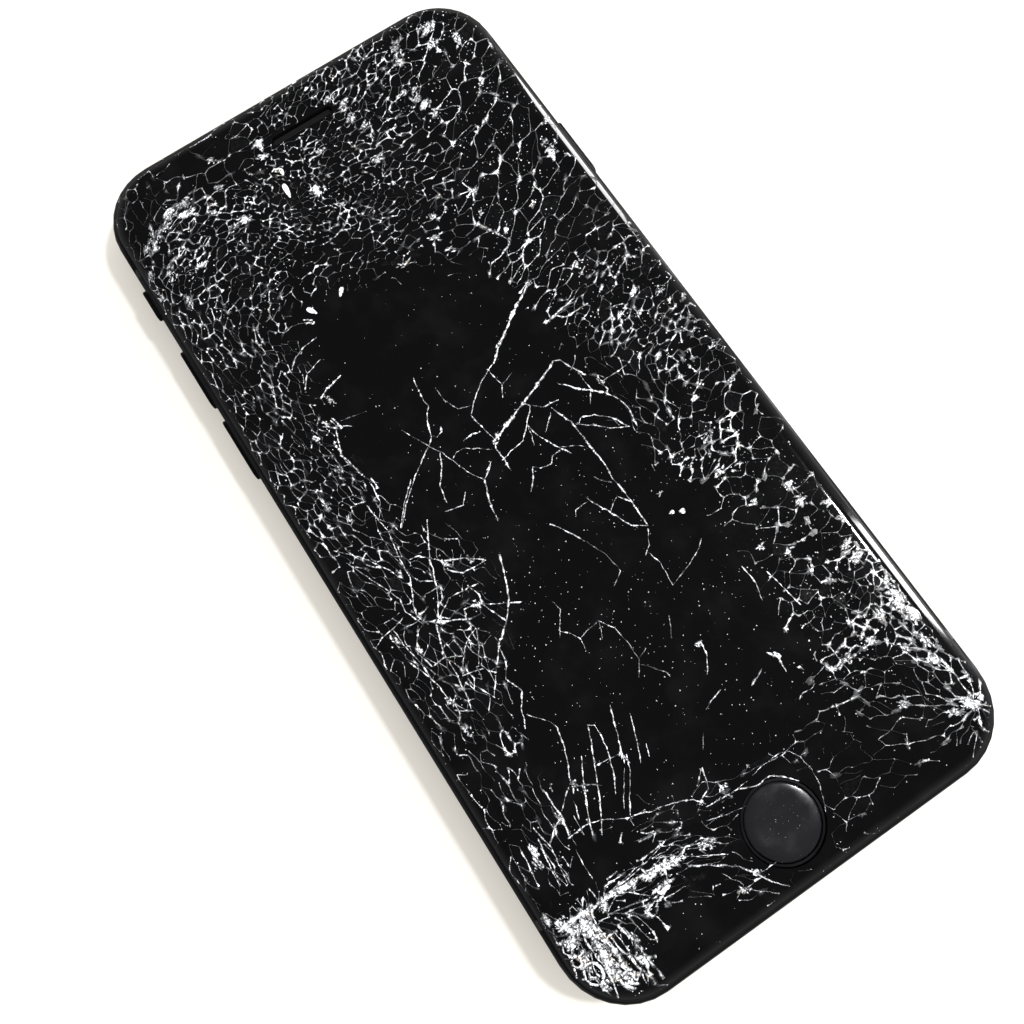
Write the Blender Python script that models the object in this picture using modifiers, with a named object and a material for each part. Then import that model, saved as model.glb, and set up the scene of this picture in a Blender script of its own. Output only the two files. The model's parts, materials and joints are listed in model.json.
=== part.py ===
"""A slab phone with a home button and a shattered cover glass, lying on its back.

Metres, +Z up. The screen faces +Z, the top end points to +Y, and the phone's right side is +X.
The origin is the middle of the box that holds the phone, at the lowest face of the camera ring.
"""

import math
import random

import bmesh
import bpy
import numpy as np

# Overall form
BODY_WIDTH = 0.0671
BODY_LENGTH = 0.1383
CORNER_RADIUS = 0.0099
SIDE_ROUNDING = 0.0033
LARGEST_ROUNDING = 0.46  # share of the thickness that each rounded edge may take
WALL = 0.0023
BACK_WALL = 0.0008
SEAT = 0.00015

# Thickness of each layer, from the back to the screen
STRIP_THICKNESS = 0.0002
BATTERY_THICKNESS = 0.0027
SHIELD_THICKNESS = 0.0002
BACKLIGHT_THICKNESS = 0.0005
PANEL_THICKNESS = 0.00105
GLASS_THICKNESS = 0.00095

# Screen and its frame
SCREEN_BORDER = 0.0162
FRAME_BAR = 0.0012
SCREEN_CORNER = 0.0008

# Shattered glass
SHARD_SEED = 20
SHARD_TRIES = 18000
CRACK_DEPTH = 0.00022
CRACK_HALF_WIDTH = 0.00022
SHARD_LEAN = 0.02
SMALLEST_SHARD = 0.5  # share of its cell that a narrow shard keeps between its cracks
SMALLEST_EDGE = 0.0003
GLASS_CROWN = 0.00006
PLAIN_SHARD = 0.0125
PLAIN_WEIGHT = 0.35
ZONE_WEIGHT = 6
ZONE_FALLOFF = 2.0

# Home button
HOME_BAR = 0.0003
HOME_RADIUS = 0.0049
HOME_RING_WALL = 0.0003
HOME_FLANGE_WIDTH = 0.001
HOME_FLANGE_THICKNESS = 0.0003
HOME_RECESS = 0.0003
HOME_DISH = 0.00012
HOME_DISH_RINGS = (0, 0.35, 0.7, 0.95)
HOME_CABLE_WIDTH = 0.0026
HOME_TRAVEL = 0.00025
HOME_SWITCH_RADIUS = 0.0026
HOME_SWITCH_THICKNESS = 0.0004
HOME_BRACKET = (0.019, 0.01)
HOME_BRACKET_THICKNESS = 0.0002
GASKET_WIDTH = 0.0006
GASKET_THICKNESS = 0.00025

# Earpiece, front camera and light sensor
TOP_BAR = 0.001
EARPIECE_LENGTH = 0.0106
EARPIECE_WIDTH = 0.0015
EARPIECE_MESH_THICKNESS = 0.0003
RECEIVER = (0.0144, 0.0058)
FRONT_CAMERA_SIDE = 0.006
FRONT_LENS_RADIUS = 0.0013
SENSOR = (0.005, 0.0016)
TOP_PART_SPACING = 0.0009
UPPER_BRACKET_THICKNESS = 0.0002

# Side buttons and ring switch
BUTTON_LENGTH = 0.0103
BUTTON_HEIGHT = 0.0019
BUTTON_PROUD = 0.00045
BUTTON_SPACING = 0.00255
BUTTON_TRAVEL = 0.00025
BUTTON_FLANGE = 0.0004
BUTTON_BAY = 0.00185
BUTTON_EDGE = 0.00015
SWITCH_LENGTH = 0.0054
SWITCH_SLOT_HEIGHT = 0.0025
LEVER_HEIGHT = 0.0014
SWITCH_BELOW_BAND = 0.00125
VOLUME_BELOW_SWITCH = 0.006
SWITCH_BODY_DEPTH = 0.0026
BRACKET_THICKNESS = 0.0005

# Card tray
TRAY_BELOW_POWER = 0.012
TRAY_FACE_LENGTH = 0.0136
TRAY_FACE_HEIGHT = 0.0017
TRAY_WIDTH = 0.0112
TRAY_DEPTH = 0.0152
TRAY_THICKNESS = 0.0009
TRAY_RIM = 0.0009
CARD = (0.0123, 0.0088)
CARD_THICKNESS = 0.00055
READER_WALL = 0.0006
READER_FLOOR = 0.00015

# Rear camera and flash
CAMERA_FROM_END = 0.0089
CAMERA_FROM_SIDE = 0.0096
RING_RADIUS = 0.005
RING_WALL = 0.0011
RING_PROUD = 0.0007
RING_FLANGE = 0.0009
RING_FLANGE_THICKNESS = 0.00025
WINDOW_THICKNESS = 0.0004
WINDOW_DEPTH = 0.00015
CAMERA_BLOCK = 0.0086
BARREL_RADIUS = 0.0031
FLASH_SPACING = 0.0042
FLASH_RADIUS = 0.0024
FLASH_FLANGE = 0.0006
FLASH_FLANGE_THICKNESS = 0.0002
FLASH_BOARD_THICKNESS = 0.00035
REAR_MIC_RADIUS = 0.0004

# Antenna bands
BAND_WIDTH = 0.0014
BAND_DEPTH = 0.00035
BAND_BELOW_CAMERA = 0.00075

# Main bays inside the case
TOP_BAY = 0.0215
BOTTOM_BAY = 0.023
BOARD_WIDTH = 0.0193
BOARD_THICKNESS = 0.0007
BOARD_LIFT = 0.0011
BOARD_LENGTH = 0.088
CHIP_COVER_HEIGHT = 0.0011
BATTERY_CORNER = 0.0012
STRIP_WIDTH = 0.006
BATTERY_CONNECTOR = (0.006, 0.003)
DISPLAY_CABLE_WIDTH = 0.0075
TOP_ANTENNA_LENGTH = 0.0054

# Board screws
BOSS_RADIUS = 0.0013
SCREW_HEAD_RADIUS = 0.001
SCREW_HEAD_HEIGHT = 0.0004
SHANK_RADIUS = 0.0005
SCREW_SPACE = 0.0025

# Bottom end
PORT_LENGTH = 0.0083
PORT_HEIGHT = 0.0019
PORT_DEPTH = 0.0068
PORT_SHELL = 0.0003
PORT_BACK = 0.0008
END_SCREW_SPACING = 0.0028
END_SCREW_RADIUS = 0.0008
END_SCREW_LENGTH = 0.0034
END_SCREW_HEAD = 0.0006
END_SCREW_DEPTH = 0.00025
HOLE_RADIUS = 0.0007
HOLE_PITCH = 0.0021
HOLES_FROM_CORNER = 0.0013
HOLES_FROM_SCREW = 0.0044
MESH_THICKNESS = 0.00015
SPEAKER = (0.0178, 0.018)
MOTOR = (0.019, 0.0092)
FLEX_THICKNESS = 0.00015
FLEX_BAND = 0.003

# Smoothness of round shapes
CORNER_STEPS = 8
SIDE_STEPS = 5
ROUND_STEPS = 32
SMALL_STEPS = 12
SLOT_STEPS = 5

# Heights of the layers
back = RING_PROUD
floor = back + BACK_WALL
battery_low = floor + SEAT + STRIP_THICKNESS + SEAT
battery_high = battery_low + BATTERY_THICKNESS
shield_low = battery_high + SEAT
backlight_low = shield_low + SHIELD_THICKNESS + SEAT
panel_low = backlight_low + BACKLIGHT_THICKNESS + SEAT
panel_high = panel_low + PANEL_THICKNESS
rim = panel_high
glass_low = rim + SEAT
glass_high = glass_low + GLASS_THICKNESS
side_middle = (back + glass_high) / 2
side_rounding = min(SIDE_ROUNDING, LARGEST_ROUNDING * (glass_high - back))
beyond = 0.002

# Edges of the pocket inside the case
pocket_width = BODY_WIDTH - 2 * WALL
pocket_length = BODY_LENGTH - 2 * WALL
pocket_corner = CORNER_RADIUS - WALL
pocket_side = pocket_width / 2
pocket_end = pocket_length / 2
bay_line = pocket_side - BUTTON_BAY

scene = bpy.context.scene
parts = bpy.data.collections.new("shattered_phone")
tools = bpy.data.collections.new("cutters")

FACING = {
    "Z": (0, 0, 0),
    "X": (math.pi / 2, 0, math.pi / 2),
    "Y": (math.pi / 2, 0, 0),
}


def clear_scene():
    """Remove what the scene holds and link the two collections."""
    for obj in list(bpy.data.objects):
        bpy.data.objects.remove(obj, do_unlink=True)
    scene.collection.children.link(parts)
    scene.collection.children.link(tools)


def new_finish(name, colour, roughness, metallic=0.0):
    """A Principled material of one colour."""
    finish = bpy.data.materials.new(name)
    finish.use_nodes = True
    shader = finish.node_tree.nodes["Principled BSDF"]
    shader.inputs["Base Color"].default_value = (*colour, 1.0)
    shader.inputs["Roughness"].default_value = roughness
    shader.inputs["Metallic"].default_value = metallic
    finish.diffuse_color = (*colour, 1.0)
    return finish


black_metal = new_finish("black_metal", (0.014, 0.014, 0.016), 0.3, 1.0)
black_glass = new_finish("black_glass", (0.01, 0.01, 0.012), 0.08)
black_plastic = new_finish("black_plastic", (0.02, 0.02, 0.022), 0.5)
button_black = new_finish("button_black", (0.022, 0.022, 0.024), 0.25)
clear_glass = new_finish("clear_glass", (0.05, 0.06, 0.08), 0.05)
dark_mesh = new_finish("dark_mesh", (0.05, 0.05, 0.05), 0.6, 0.8)
bright_steel = new_finish("bright_steel", (0.55, 0.55, 0.57), 0.3, 1.0)
board_green = new_finish("board_green", (0.02, 0.05, 0.03), 0.5)
cell_grey = new_finish("cell_grey", (0.05, 0.05, 0.055), 0.45)
copper_flex = new_finish("copper_flex", (0.3, 0.14, 0.05), 0.5)
white_card = new_finish("white_card", (0.7, 0.7, 0.68), 0.5)
rubber_black = new_finish("rubber_black", (0.015, 0.015, 0.015), 0.8)


def new_object(name, mesh, finish, place=(0, 0, 0), facing="Z"):
    """An object of this mesh. Without a finish it is a cutter."""
    obj = bpy.data.objects.new(name, mesh)
    obj.location = place
    obj.rotation_euler = FACING[facing]
    if finish is None:
        tools.objects.link(obj)
        obj.hide_render = True
        obj.display_type = "WIRE"
    else:
        parts.objects.link(obj)
        mesh.materials.append(finish)
    return obj


def rounded_rectangle(width, length, radius, steps=CORNER_STEPS, centre=(0, 0)):
    """Outline of a rounded rectangle, anticlockwise."""
    points = []
    corners = ((1, 1), (-1, 1), (-1, -1), (1, -1))
    for quarter, (side, end) in enumerate(corners):
        for step in range(steps + 1):
            turn = math.radians(90 * (quarter + step / steps))
            x = centre[0] + side * (width / 2 - radius) + radius * math.cos(turn)
            y = centre[1] + end * (length / 2 - radius) + radius * math.sin(turn)
            if not points or math.dist(points[-1], (x, y)) > SMALLEST_EDGE / 100:
                points.append((x, y))
    if math.dist(points[0], points[-1]) < SMALLEST_EDGE / 100:
        points.pop()
    return points


def slot_outline(length, height, centre=(0, 0)):
    """A slot with round ends, long along its own X."""
    return rounded_rectangle(length, height, height / 2, SLOT_STEPS, centre)


def rectangle(width, length, centre=(0, 0)):
    x, y = centre
    return [
        (x - width / 2, y - length / 2),
        (x + width / 2, y - length / 2),
        (x + width / 2, y + length / 2),
        (x - width / 2, y + length / 2),
    ]


def circle(radius, steps, centre=(0, 0)):
    turns = [2 * math.pi * step / steps for step in range(steps)]
    return [(centre[0] + radius * math.cos(t), centre[1] + radius * math.sin(t)) for t in turns]


def plate(name, outline, thickness, place, finish=None, facing="Z", holes=()):
    """A flat piece of even thickness, its middle at place, from a filled 2D curve."""
    curve = bpy.data.curves.new(name, "CURVE")
    curve.dimensions = "2D"
    curve.fill_mode = "BOTH"
    curve.extrude = thickness / 2
    for ring in (outline, *holes):
        spline = curve.splines.new("POLY")
        spline.points.add(len(ring) - 1)
        for point, (x, y) in zip(spline.points, ring):
            point.co = (x, y, 0, 1)
        spline.use_cyclic_u = True
    guide = bpy.data.objects.new(name + "_outline", curve)
    tools.objects.link(guide)
    graph = bpy.context.evaluated_depsgraph_get()
    mesh = bpy.data.meshes.new_from_object(guide.evaluated_get(graph))
    mesh.name = name
    bpy.data.objects.remove(guide, do_unlink=True)
    mesh.materials.clear()
    welded = bmesh.new()
    welded.from_mesh(mesh)
    bmesh.ops.remove_doubles(welded, verts=welded.verts, dist=1e-7)
    bmesh.ops.dissolve_limit(welded, angle_limit=0.01, verts=welded.verts, edges=welded.edges)
    bmesh.ops.recalc_face_normals(welded, faces=welded.faces)
    welded.to_mesh(mesh)
    welded.free()
    return new_object(name, mesh, finish, place, facing)


def layer(name, outline, low, high, finish=None, centre=(0, 0), holes=()):
    """A plate that lies flat between two heights."""
    place = (centre[0], centre[1], (low + high) / 2)
    return plate(name, outline, high - low, place, finish, "Z", holes)


def box(name, size, place, finish=None):
    """A plain block with its middle at place."""
    solid = bmesh.new()
    bmesh.ops.create_cube(solid, size=1.0)
    bmesh.ops.scale(solid, vec=size, verts=solid.verts)
    mesh = bpy.data.meshes.new(name)
    solid.to_mesh(mesh)
    solid.free()
    return new_object(name, mesh, finish, place)


def block(name, low, high, finish=None):
    """A plain block between two corners."""
    size = [b - a for a, b in zip(low, high)]
    middle = [(a + b) / 2 for a, b in zip(low, high)]
    return box(name, size, middle, finish)


def disc(name, radius, length, place, finish=None, facing="Z", steps=ROUND_STEPS):
    """A cylinder with its middle at place."""
    solid = bmesh.new()
    bmesh.ops.create_cone(
        solid, cap_ends=True, segments=steps, radius1=radius, radius2=radius, depth=length
    )
    mesh = bpy.data.meshes.new(name)
    solid.to_mesh(mesh)
    solid.free()
    smooth_sides(mesh)
    return new_object(name, mesh, finish, place, facing)


def upright(name, radius, low, high, finish=None, centre=(0, 0), steps=ROUND_STEPS):
    """A standing cylinder between two heights."""
    place = (centre[0], centre[1], (low + high) / 2)
    return disc(name, radius, high - low, place, finish, "Z", steps)


def turned(name, profile, finish, place=(0, 0, 0), facing="Z", closed=False, steps=ROUND_STEPS):
    """A profile of (radius, height) points turned about its own Z axis."""
    outline = bmesh.new()
    points = [outline.verts.new((radius, 0, height)) for radius, height in profile]
    for first, second in zip(points, points[1:]):
        outline.edges.new((first, second))
    if closed:
        outline.edges.new((points[-1], points[0]))
    mesh = bpy.data.meshes.new(name)
    outline.to_mesh(mesh)
    outline.free()
    obj = new_object(name, mesh, finish, place, facing)
    screw = obj.modifiers.new("turning", "SCREW")
    screw.steps = steps
    screw.render_steps = steps
    screw.use_merge_vertices = True
    screw.merge_threshold = 1e-6
    return obj


def smooth_sides(mesh):
    mesh.shade_smooth()
    mesh.set_sharp_from_angle(angle=math.radians(40))


def round_edges(obj, width, segments=2):
    """Round the edges where two faces meet steeply."""
    bevel = obj.modifiers.new("rounded_edges", "BEVEL")
    bevel.limit_method = "ANGLE"
    bevel.angle_limit = math.radians(60)
    bevel.width = width
    bevel.segments = segments


def combine(obj, tool, operation):
    step = obj.modifiers.new(tool.name, "BOOLEAN")
    step.operation = operation
    step.object = tool


def cut(obj, *cutters):
    for cutter in cutters:
        combine(obj, cutter, "DIFFERENCE")


def join(obj, *additions):
    for addition in additions:
        combine(obj, addition, "UNION")


def keep_common(obj, tool):
    combine(obj, tool, "INTERSECT")


def phone_blank(name, inset=0.0, crown=0.0, finish=None):
    """The whole phone as one rounded slab, smaller all round by inset, its face higher by crown."""
    low = back + inset
    high = glass_high - inset + crown
    outline = rounded_rectangle(
        BODY_WIDTH - 2 * inset, BODY_LENGTH - 2 * inset, CORNER_RADIUS - inset
    )
    blank = layer(name, outline, low, high, finish)
    round_edges(blank, side_rounding - inset, SIDE_STEPS)
    return blank


# Places along the phone, worked out from the camera downwards
half_width = BODY_WIDTH / 2
half_length = BODY_LENGTH / 2
camera_x = half_width - CAMERA_FROM_SIDE
camera_y = half_length - CAMERA_FROM_END
ring_hole = RING_RADIUS + SEAT
band_y = camera_y - ring_hole - BAND_BELOW_CAMERA - BAND_WIDTH / 2
switch_y = band_y - BAND_WIDTH / 2 - SWITCH_BELOW_BAND - SWITCH_LENGTH / 2
volume_up_y = switch_y - SWITCH_LENGTH / 2 - VOLUME_BELOW_SWITCH - BUTTON_LENGTH / 2
volume_down_y = volume_up_y - BUTTON_LENGTH - BUTTON_SPACING
power_y = volume_up_y
tray_y = power_y - BUTTON_LENGTH / 2 - TRAY_BELOW_POWER - TRAY_FACE_LENGTH / 2

# Battery and board edges
battery_top = pocket_end - TOP_BAY
battery_bottom = BOTTOM_BAY - pocket_end
board_right = bay_line - SEAT
board_left = board_right - BOARD_WIDTH
battery_left = SEAT - bay_line
battery_right = board_left - 2 * SEAT
board_low = floor + BOARD_LIFT
board_high = board_low + BOARD_THICKNESS
cover_low = board_high + SEAT
cover_high = cover_low + CHIP_COVER_HEIGHT
board_top = pocket_end - 3 * SEAT
board_bottom = board_top - BOARD_LENGTH
arm_left = pocket_corner - pocket_side
arm_bottom = battery_top + 2 * SEAT
notch_x = camera_x - CAMERA_BLOCK / 2 - 3 * SEAT
notch_y = camera_y - CAMERA_BLOCK / 2 - 3 * SEAT
bracket_low = battery_high + 2 * SEAT


# Cracks


def shard_zones():
    """Where the glass is crushed: middle, reach, shard length and width, and the shards' direction.

    Middles are shares of the half width and half length, sizes are metres, directions are degrees
    from +X.
    """
    return (
        # top left corner, and the fine strip down the left edge
        (-0.80, 0.84, 0.013, 0.0026, 0.0023, 45),
        (-0.88, 0.62, 0.008, 0.0038, 0.0020, 88),
        (-0.90, 0.42, 0.009, 0.0049, 0.0020, 90),
        (-0.78, 0.22, 0.009, 0.0044, 0.0025, 80),
        # top edge and the fan of long shards in the top right corner
        (0.00, 0.80, 0.014, 0.0040, 0.0030, 10),
        (0.55, 0.78, 0.013, 0.0052, 0.0029, 70),
        (0.80, 0.60, 0.012, 0.0050, 0.0029, 35),
        (0.52, 0.42, 0.011, 0.0046, 0.0027, 55),
        # right edge, from the top down to the crushed patch and the lower corner
        (0.84, 0.26, 0.012, 0.0034, 0.0027, 20),
        (0.80, -0.02, 0.012, 0.0039, 0.0029, 0),
        (0.84, -0.36, 0.011, 0.0044, 0.0035, 0),
        (0.84, -0.68, 0.012, 0.0025, 0.0022, 30),
        (0.84, -0.90, 0.010, 0.0030, 0.0022, 0),
        # burst in the lower left corner with its long splinters
        (-0.84, -0.84, 0.012, 0.0030, 0.0020, 60),
        (-0.52, -0.66, 0.012, 0.0063, 0.0025, 52),
        (-0.66, -0.44, 0.010, 0.0050, 0.0027, 60),
        # lower half of the left edge and the star beside it
        (-0.82, -0.14, 0.013, 0.0037, 0.0027, 30),
        (-0.62, -0.24, 0.008, 0.0029, 0.0024, 0),
    )


def shard_size(x, y):
    """Length, width and direction of a shard at this point."""
    weights = [(PLAIN_WEIGHT, PLAIN_SHARD, PLAIN_SHARD, 0)]
    for across, along, reach, length, width, direction in shard_zones():
        away = math.dist((x, y), (across * half_width, along * half_length)) / reach
        weight = ZONE_WEIGHT * math.exp(-ZONE_FALLOFF * away * away)
        weights.append((weight, length, width, direction))
    total = sum(weight[0] for weight in weights)
    length = math.exp(sum(weight[0] * math.log(weight[1]) for weight in weights) / total)
    width = math.exp(sum(weight[0] * math.log(weight[2]) for weight in weights) / total)
    direction = max(weights[1:])[3]
    return length, width, math.radians(direction)


def shard_seeds():
    """Points spread over the phone's face, closer together where the glass is crushed."""
    draw = random.Random(SHARD_SEED)
    seeds = np.empty((0, 2))
    for _ in range(SHARD_TRIES):
        x = draw.uniform(-half_width, half_width)
        y = draw.uniform(-half_length, half_length)
        length, width, turn = shard_size(x, y)
        away = seeds - (x, y)
        along = (away @ (math.cos(turn), math.sin(turn))) / length
        across = (away @ (-math.sin(turn), math.cos(turn))) / width
        if not len(seeds) or (along * along + across * across).min() > 1:
            seeds = np.vstack((seeds, (x, y)))
    return seeds


def cut_polygon(polygon, point, normal):
    """The part of a convex polygon on the side of a line that the normal points away from."""
    kept = []
    heights = [(x - point[0]) * normal[0] + (y - point[1]) * normal[1] for x, y in polygon]
    for index, (x, y) in enumerate(polygon):
        before = index - 1
        if (heights[index] > 0) != (heights[before] > 0):
            share = heights[before] / (heights[before] - heights[index])
            x0, y0 = polygon[before]
            kept.append((x0 + share * (x - x0), y0 + share * (y - y0)))
        if heights[index] <= 0:
            kept.append((x, y))
    return kept


def shard_outlines(outline):
    """The cell of each seed: the part of the outline nearer to it than to any other seed."""
    seeds = shard_seeds()
    for seed in seeds:
        away = seeds - seed
        distances = np.hypot(away[:, 0], away[:, 1])
        polygon = outline
        for index in np.argsort(distances)[1:]:
            polygon = cut_polygon(polygon, seed + away[index] / 2, away[index])
            reach = max((math.dist(seed, corner) for corner in polygon), default=0)
            if distances[index] > 2 * reach:
                break
        if len(polygon) > 2:
            yield polygon


def raise_shard(face, draw):
    """Lift a shard to the glass's face, draw its edges in from the crack and lean it a little."""
    middle = face.calc_center_median()
    reach = min(
        (edge.verts[0].co - middle).cross((edge.verts[1].co - edge.verts[0].co).normalized()).length
        for edge in face.edges
    )
    shrink = max(SMALLEST_SHARD, 1 - CRACK_HALF_WIDTH / reach)
    lean_x = draw.uniform(-SHARD_LEAN, SHARD_LEAN)
    lean_y = draw.uniform(-SHARD_LEAN, SHARD_LEAN)
    offsets = [(vert.co - middle) * shrink for vert in face.verts]
    rises = [lean_x * offset.x + lean_y * offset.y for offset in offsets]
    for vert, offset, rise in zip(face.verts, offsets, rises):
        drop = min(max(rises) - rise, CRACK_DEPTH / 2)
        vert.co = (middle.x + offset.x, middle.y + offset.y, glass_high - drop)


def make_cover_glass():
    """The cover glass: shards standing between V-shaped cracks, trimmed to the phone's round edge."""
    outline = rounded_rectangle(BODY_WIDTH, BODY_LENGTH, CORNER_RADIUS)
    bed = glass_high - CRACK_DEPTH
    sheet = bmesh.new()
    for polygon in shard_outlines(outline):
        sheet.faces.new([sheet.verts.new((x, y, bed)) for x, y in polygon])
    bmesh.ops.remove_doubles(sheet, verts=sheet.verts, dist=SMALLEST_EDGE)
    raised = bmesh.ops.extrude_discrete_faces(sheet, faces=sheet.faces)["faces"]
    draw = random.Random(SHARD_SEED + 1)
    for face in raised:
        raise_shard(face, draw)
    border = [edge for edge in sheet.edges if edge.is_boundary]
    skirt = bmesh.ops.extrude_edge_only(sheet, edges=border)["geom"]
    for vert in (item for item in skirt if isinstance(item, bmesh.types.BMVert)):
        vert.co.z = glass_low
    bmesh.ops.holes_fill(sheet, edges=[edge for edge in sheet.edges if edge.is_boundary])
    bmesh.ops.recalc_face_normals(sheet, faces=sheet.faces)
    mesh = bpy.data.meshes.new("cover_glass")
    sheet.to_mesh(mesh)
    sheet.free()
    glass = new_object("cover_glass", mesh, black_glass)
    keep_common(glass, phone_blank("glass_form", crown=GLASS_CROWN))
    high = glass_high + beyond
    hole = upright("home_hole", home_ring_outer + SEAT, glass_low - beyond, high, None, (0, home_y))
    slot = layer(
        "earpiece_slot",
        slot_outline(EARPIECE_LENGTH, EARPIECE_WIDTH),
        glass_low - beyond,
        high,
        None,
        (0, earpiece_y),
    )
    cut(glass, hole, slot)


# Home button

home_ring_inner = HOME_RADIUS + SEAT
home_ring_outer = home_ring_inner + HOME_RING_WALL
gasket_inner = home_ring_outer + SEAT
gasket_outer = gasket_inner + GASKET_WIDTH
home_flange_radius = HOME_RADIUS + HOME_FLANGE_WIDTH
home_hole_radius = max(gasket_outer, home_flange_radius) + SEAT
home_y = SEAT + HOME_BAR + home_hole_radius - pocket_end
gasket_low = rim - GASKET_THICKNESS
home_flange_high = gasket_low - SEAT
home_flange_low = home_flange_high - HOME_FLANGE_THICKNESS
home_switch_high = home_flange_low - HOME_TRAVEL - SEAT
home_switch_low = home_switch_high - HOME_SWITCH_THICKNESS


def make_home_button():
    """Dished disc with a flange under the glass, its trim ring, gasket, switch and bracket."""
    place = (0, home_y, 0)
    face = glass_high - HOME_RECESS
    profile = [
        *((HOME_RADIUS * ring, face - HOME_DISH * (1 - ring * ring)) for ring in HOME_DISH_RINGS),
        (HOME_RADIUS, face - HOME_DISH),
        (HOME_RADIUS, home_flange_high),
        (home_flange_radius, home_flange_high),
        (home_flange_radius, home_flange_low),
        (0, home_flange_low),
    ]
    turned("home_button", profile, button_black, place)
    ring = [
        (home_ring_outer, face),
        (home_ring_outer, home_flange_high + SEAT),
        (home_ring_inner, home_flange_high + SEAT),
        (home_ring_inner, face),
    ]
    turned("home_button_ring", ring, black_metal, place, closed=True)
    gasket = [
        (gasket_outer, rim),
        (gasket_outer, gasket_low),
        (gasket_inner, gasket_low),
        (gasket_inner, rim),
    ]
    turned("home_button_gasket", gasket, rubber_black, place, closed=True)
    upright(
        "home_switch",
        HOME_SWITCH_RADIUS,
        home_switch_low,
        home_switch_high,
        bright_steel,
        place[:2],
    )
    bracket_high = home_switch_low - SEAT
    layer(
        "home_bracket",
        rectangle(*HOME_BRACKET),
        bracket_high - HOME_BRACKET_THICKNESS,
        bracket_high,
        bright_steel,
        place[:2],
    )


# Screen and front frame

opening_width = pocket_width - 2 * SEAT - 2 * FRAME_BAR
opening_length = BODY_LENGTH - 2 * SCREEN_BORDER
front_camera_x = -(RECEIVER[0] + FRONT_CAMERA_SIDE) / 2 - TOP_PART_SPACING
sensor_y = pocket_end - SEAT - TOP_BAR - SEAT - SENSOR[1] / 2
earpiece_y = sensor_y - (RECEIVER[1] + SENSOR[1]) / 2 - TOP_PART_SPACING


def with_gap(size):
    """A rectangle's two sides with a gap all round."""
    return size[0] + 2 * SEAT, size[1] + 2 * SEAT


def make_front_frame():
    """Plastic frame under the glass, open for the screen, the home button and the top parts."""
    outline = rounded_rectangle(
        pocket_width - 2 * SEAT, pocket_length - 2 * SEAT, pocket_corner - SEAT
    )
    holes = (
        rounded_rectangle(opening_width, opening_length, SCREEN_CORNER, SLOT_STEPS),
        circle(home_hole_radius, ROUND_STEPS, (0, home_y)),
        rectangle(*with_gap(RECEIVER), (0, earpiece_y)),
        rectangle(*with_gap((FRONT_CAMERA_SIDE, FRONT_CAMERA_SIDE)), (front_camera_x, earpiece_y)),
        rectangle(*with_gap(SENSOR), (0, sensor_y)),
    )
    layer("front_frame", outline, panel_low, rim, black_plastic, holes=holes)


def make_screen():
    """Screen panel, its backlight and the metal shield behind them."""
    panel = (opening_width - 2 * SEAT, opening_length - 2 * SEAT)
    radius = SCREEN_CORNER
    outline = rounded_rectangle(*panel, radius, SLOT_STEPS)
    layer("display_panel", outline, panel_low, panel_high, black_glass)
    inner = rounded_rectangle(2 * (bay_line - SEAT), panel[1], radius, SLOT_STEPS)
    layer("backlight_unit", inner, backlight_low, panel_low - SEAT, white_card)
    layer("display_shield", inner, shield_low, backlight_low - SEAT, bright_steel)


def make_top_parts():
    """Earpiece, front camera, light sensor and the bracket that holds them."""
    mesh_outline = slot_outline(EARPIECE_LENGTH - 2 * SEAT, EARPIECE_WIDTH - 2 * SEAT)
    layer(
        "earpiece_mesh",
        mesh_outline,
        glass_low,
        glass_low + EARPIECE_MESH_THICKNESS,
        dark_mesh,
        (0, earpiece_y),
    )
    low = bracket_low + UPPER_BRACKET_THICKNESS + SEAT
    layer("earpiece_speaker", rectangle(*RECEIVER), low, rim, black_plastic, (0, earpiece_y))
    place = (front_camera_x, earpiece_y)
    square = rectangle(FRONT_CAMERA_SIDE, FRONT_CAMERA_SIDE)
    camera = layer("front_camera", square, low, panel_high - SEAT, black_plastic, place)
    join(camera, upright("front_lens", FRONT_LENS_RADIUS, low + SEAT, rim, None, place))
    layer("light_sensor", rectangle(*SENSOR), low, rim, black_plastic, (0, sensor_y))
    left = front_camera_x - FRONT_CAMERA_SIDE / 2
    right = RECEIVER[0] / 2
    bracket = rectangle(right - left, FRONT_CAMERA_SIDE)
    layer(
        "upper_bracket",
        bracket,
        bracket_low,
        bracket_low + UPPER_BRACKET_THICKNESS,
        bright_steel,
        ((left + right) / 2, earpiece_y),
    )


# Case

port_top = home_switch_low - HOME_BRACKET_THICKNESS - 2 * SEAT
port_outer_height = PORT_HEIGHT + 2 * PORT_SHELL
port_middle = port_top - port_outer_height / 2
end_screw_x = PORT_LENGTH / 2 + PORT_SHELL + END_SCREW_SPACING
last_hole_x = pocket_side - pocket_corner - HOLES_FROM_CORNER
hole_count = 1 + int((last_hole_x - end_screw_x - HOLES_FROM_SCREW) / HOLE_PITCH)
mesh_centre_x = last_hole_x - HOLE_PITCH * (hole_count - 1) / 2
flash_x = camera_x - ring_hole - FLASH_SPACING - FLASH_RADIUS
rear_mic_x = (camera_x - ring_hole + flash_x + FLASH_RADIUS) / 2


def side_cutter(name, outline, side, y, z):
    """A cutter that passes through the left or right wall."""
    x = side * (half_width - WALL / 2)
    return plate(name, outline, WALL + 2 * SEAT + BUTTON_PROUD, (x, y, z), None, "X")


def end_cutter(name, outline, x, z):
    """A cutter that passes through the bottom wall."""
    return plate(name, outline, WALL + beyond, (x, -half_length + WALL / 2, z), None, "Y")


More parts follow.
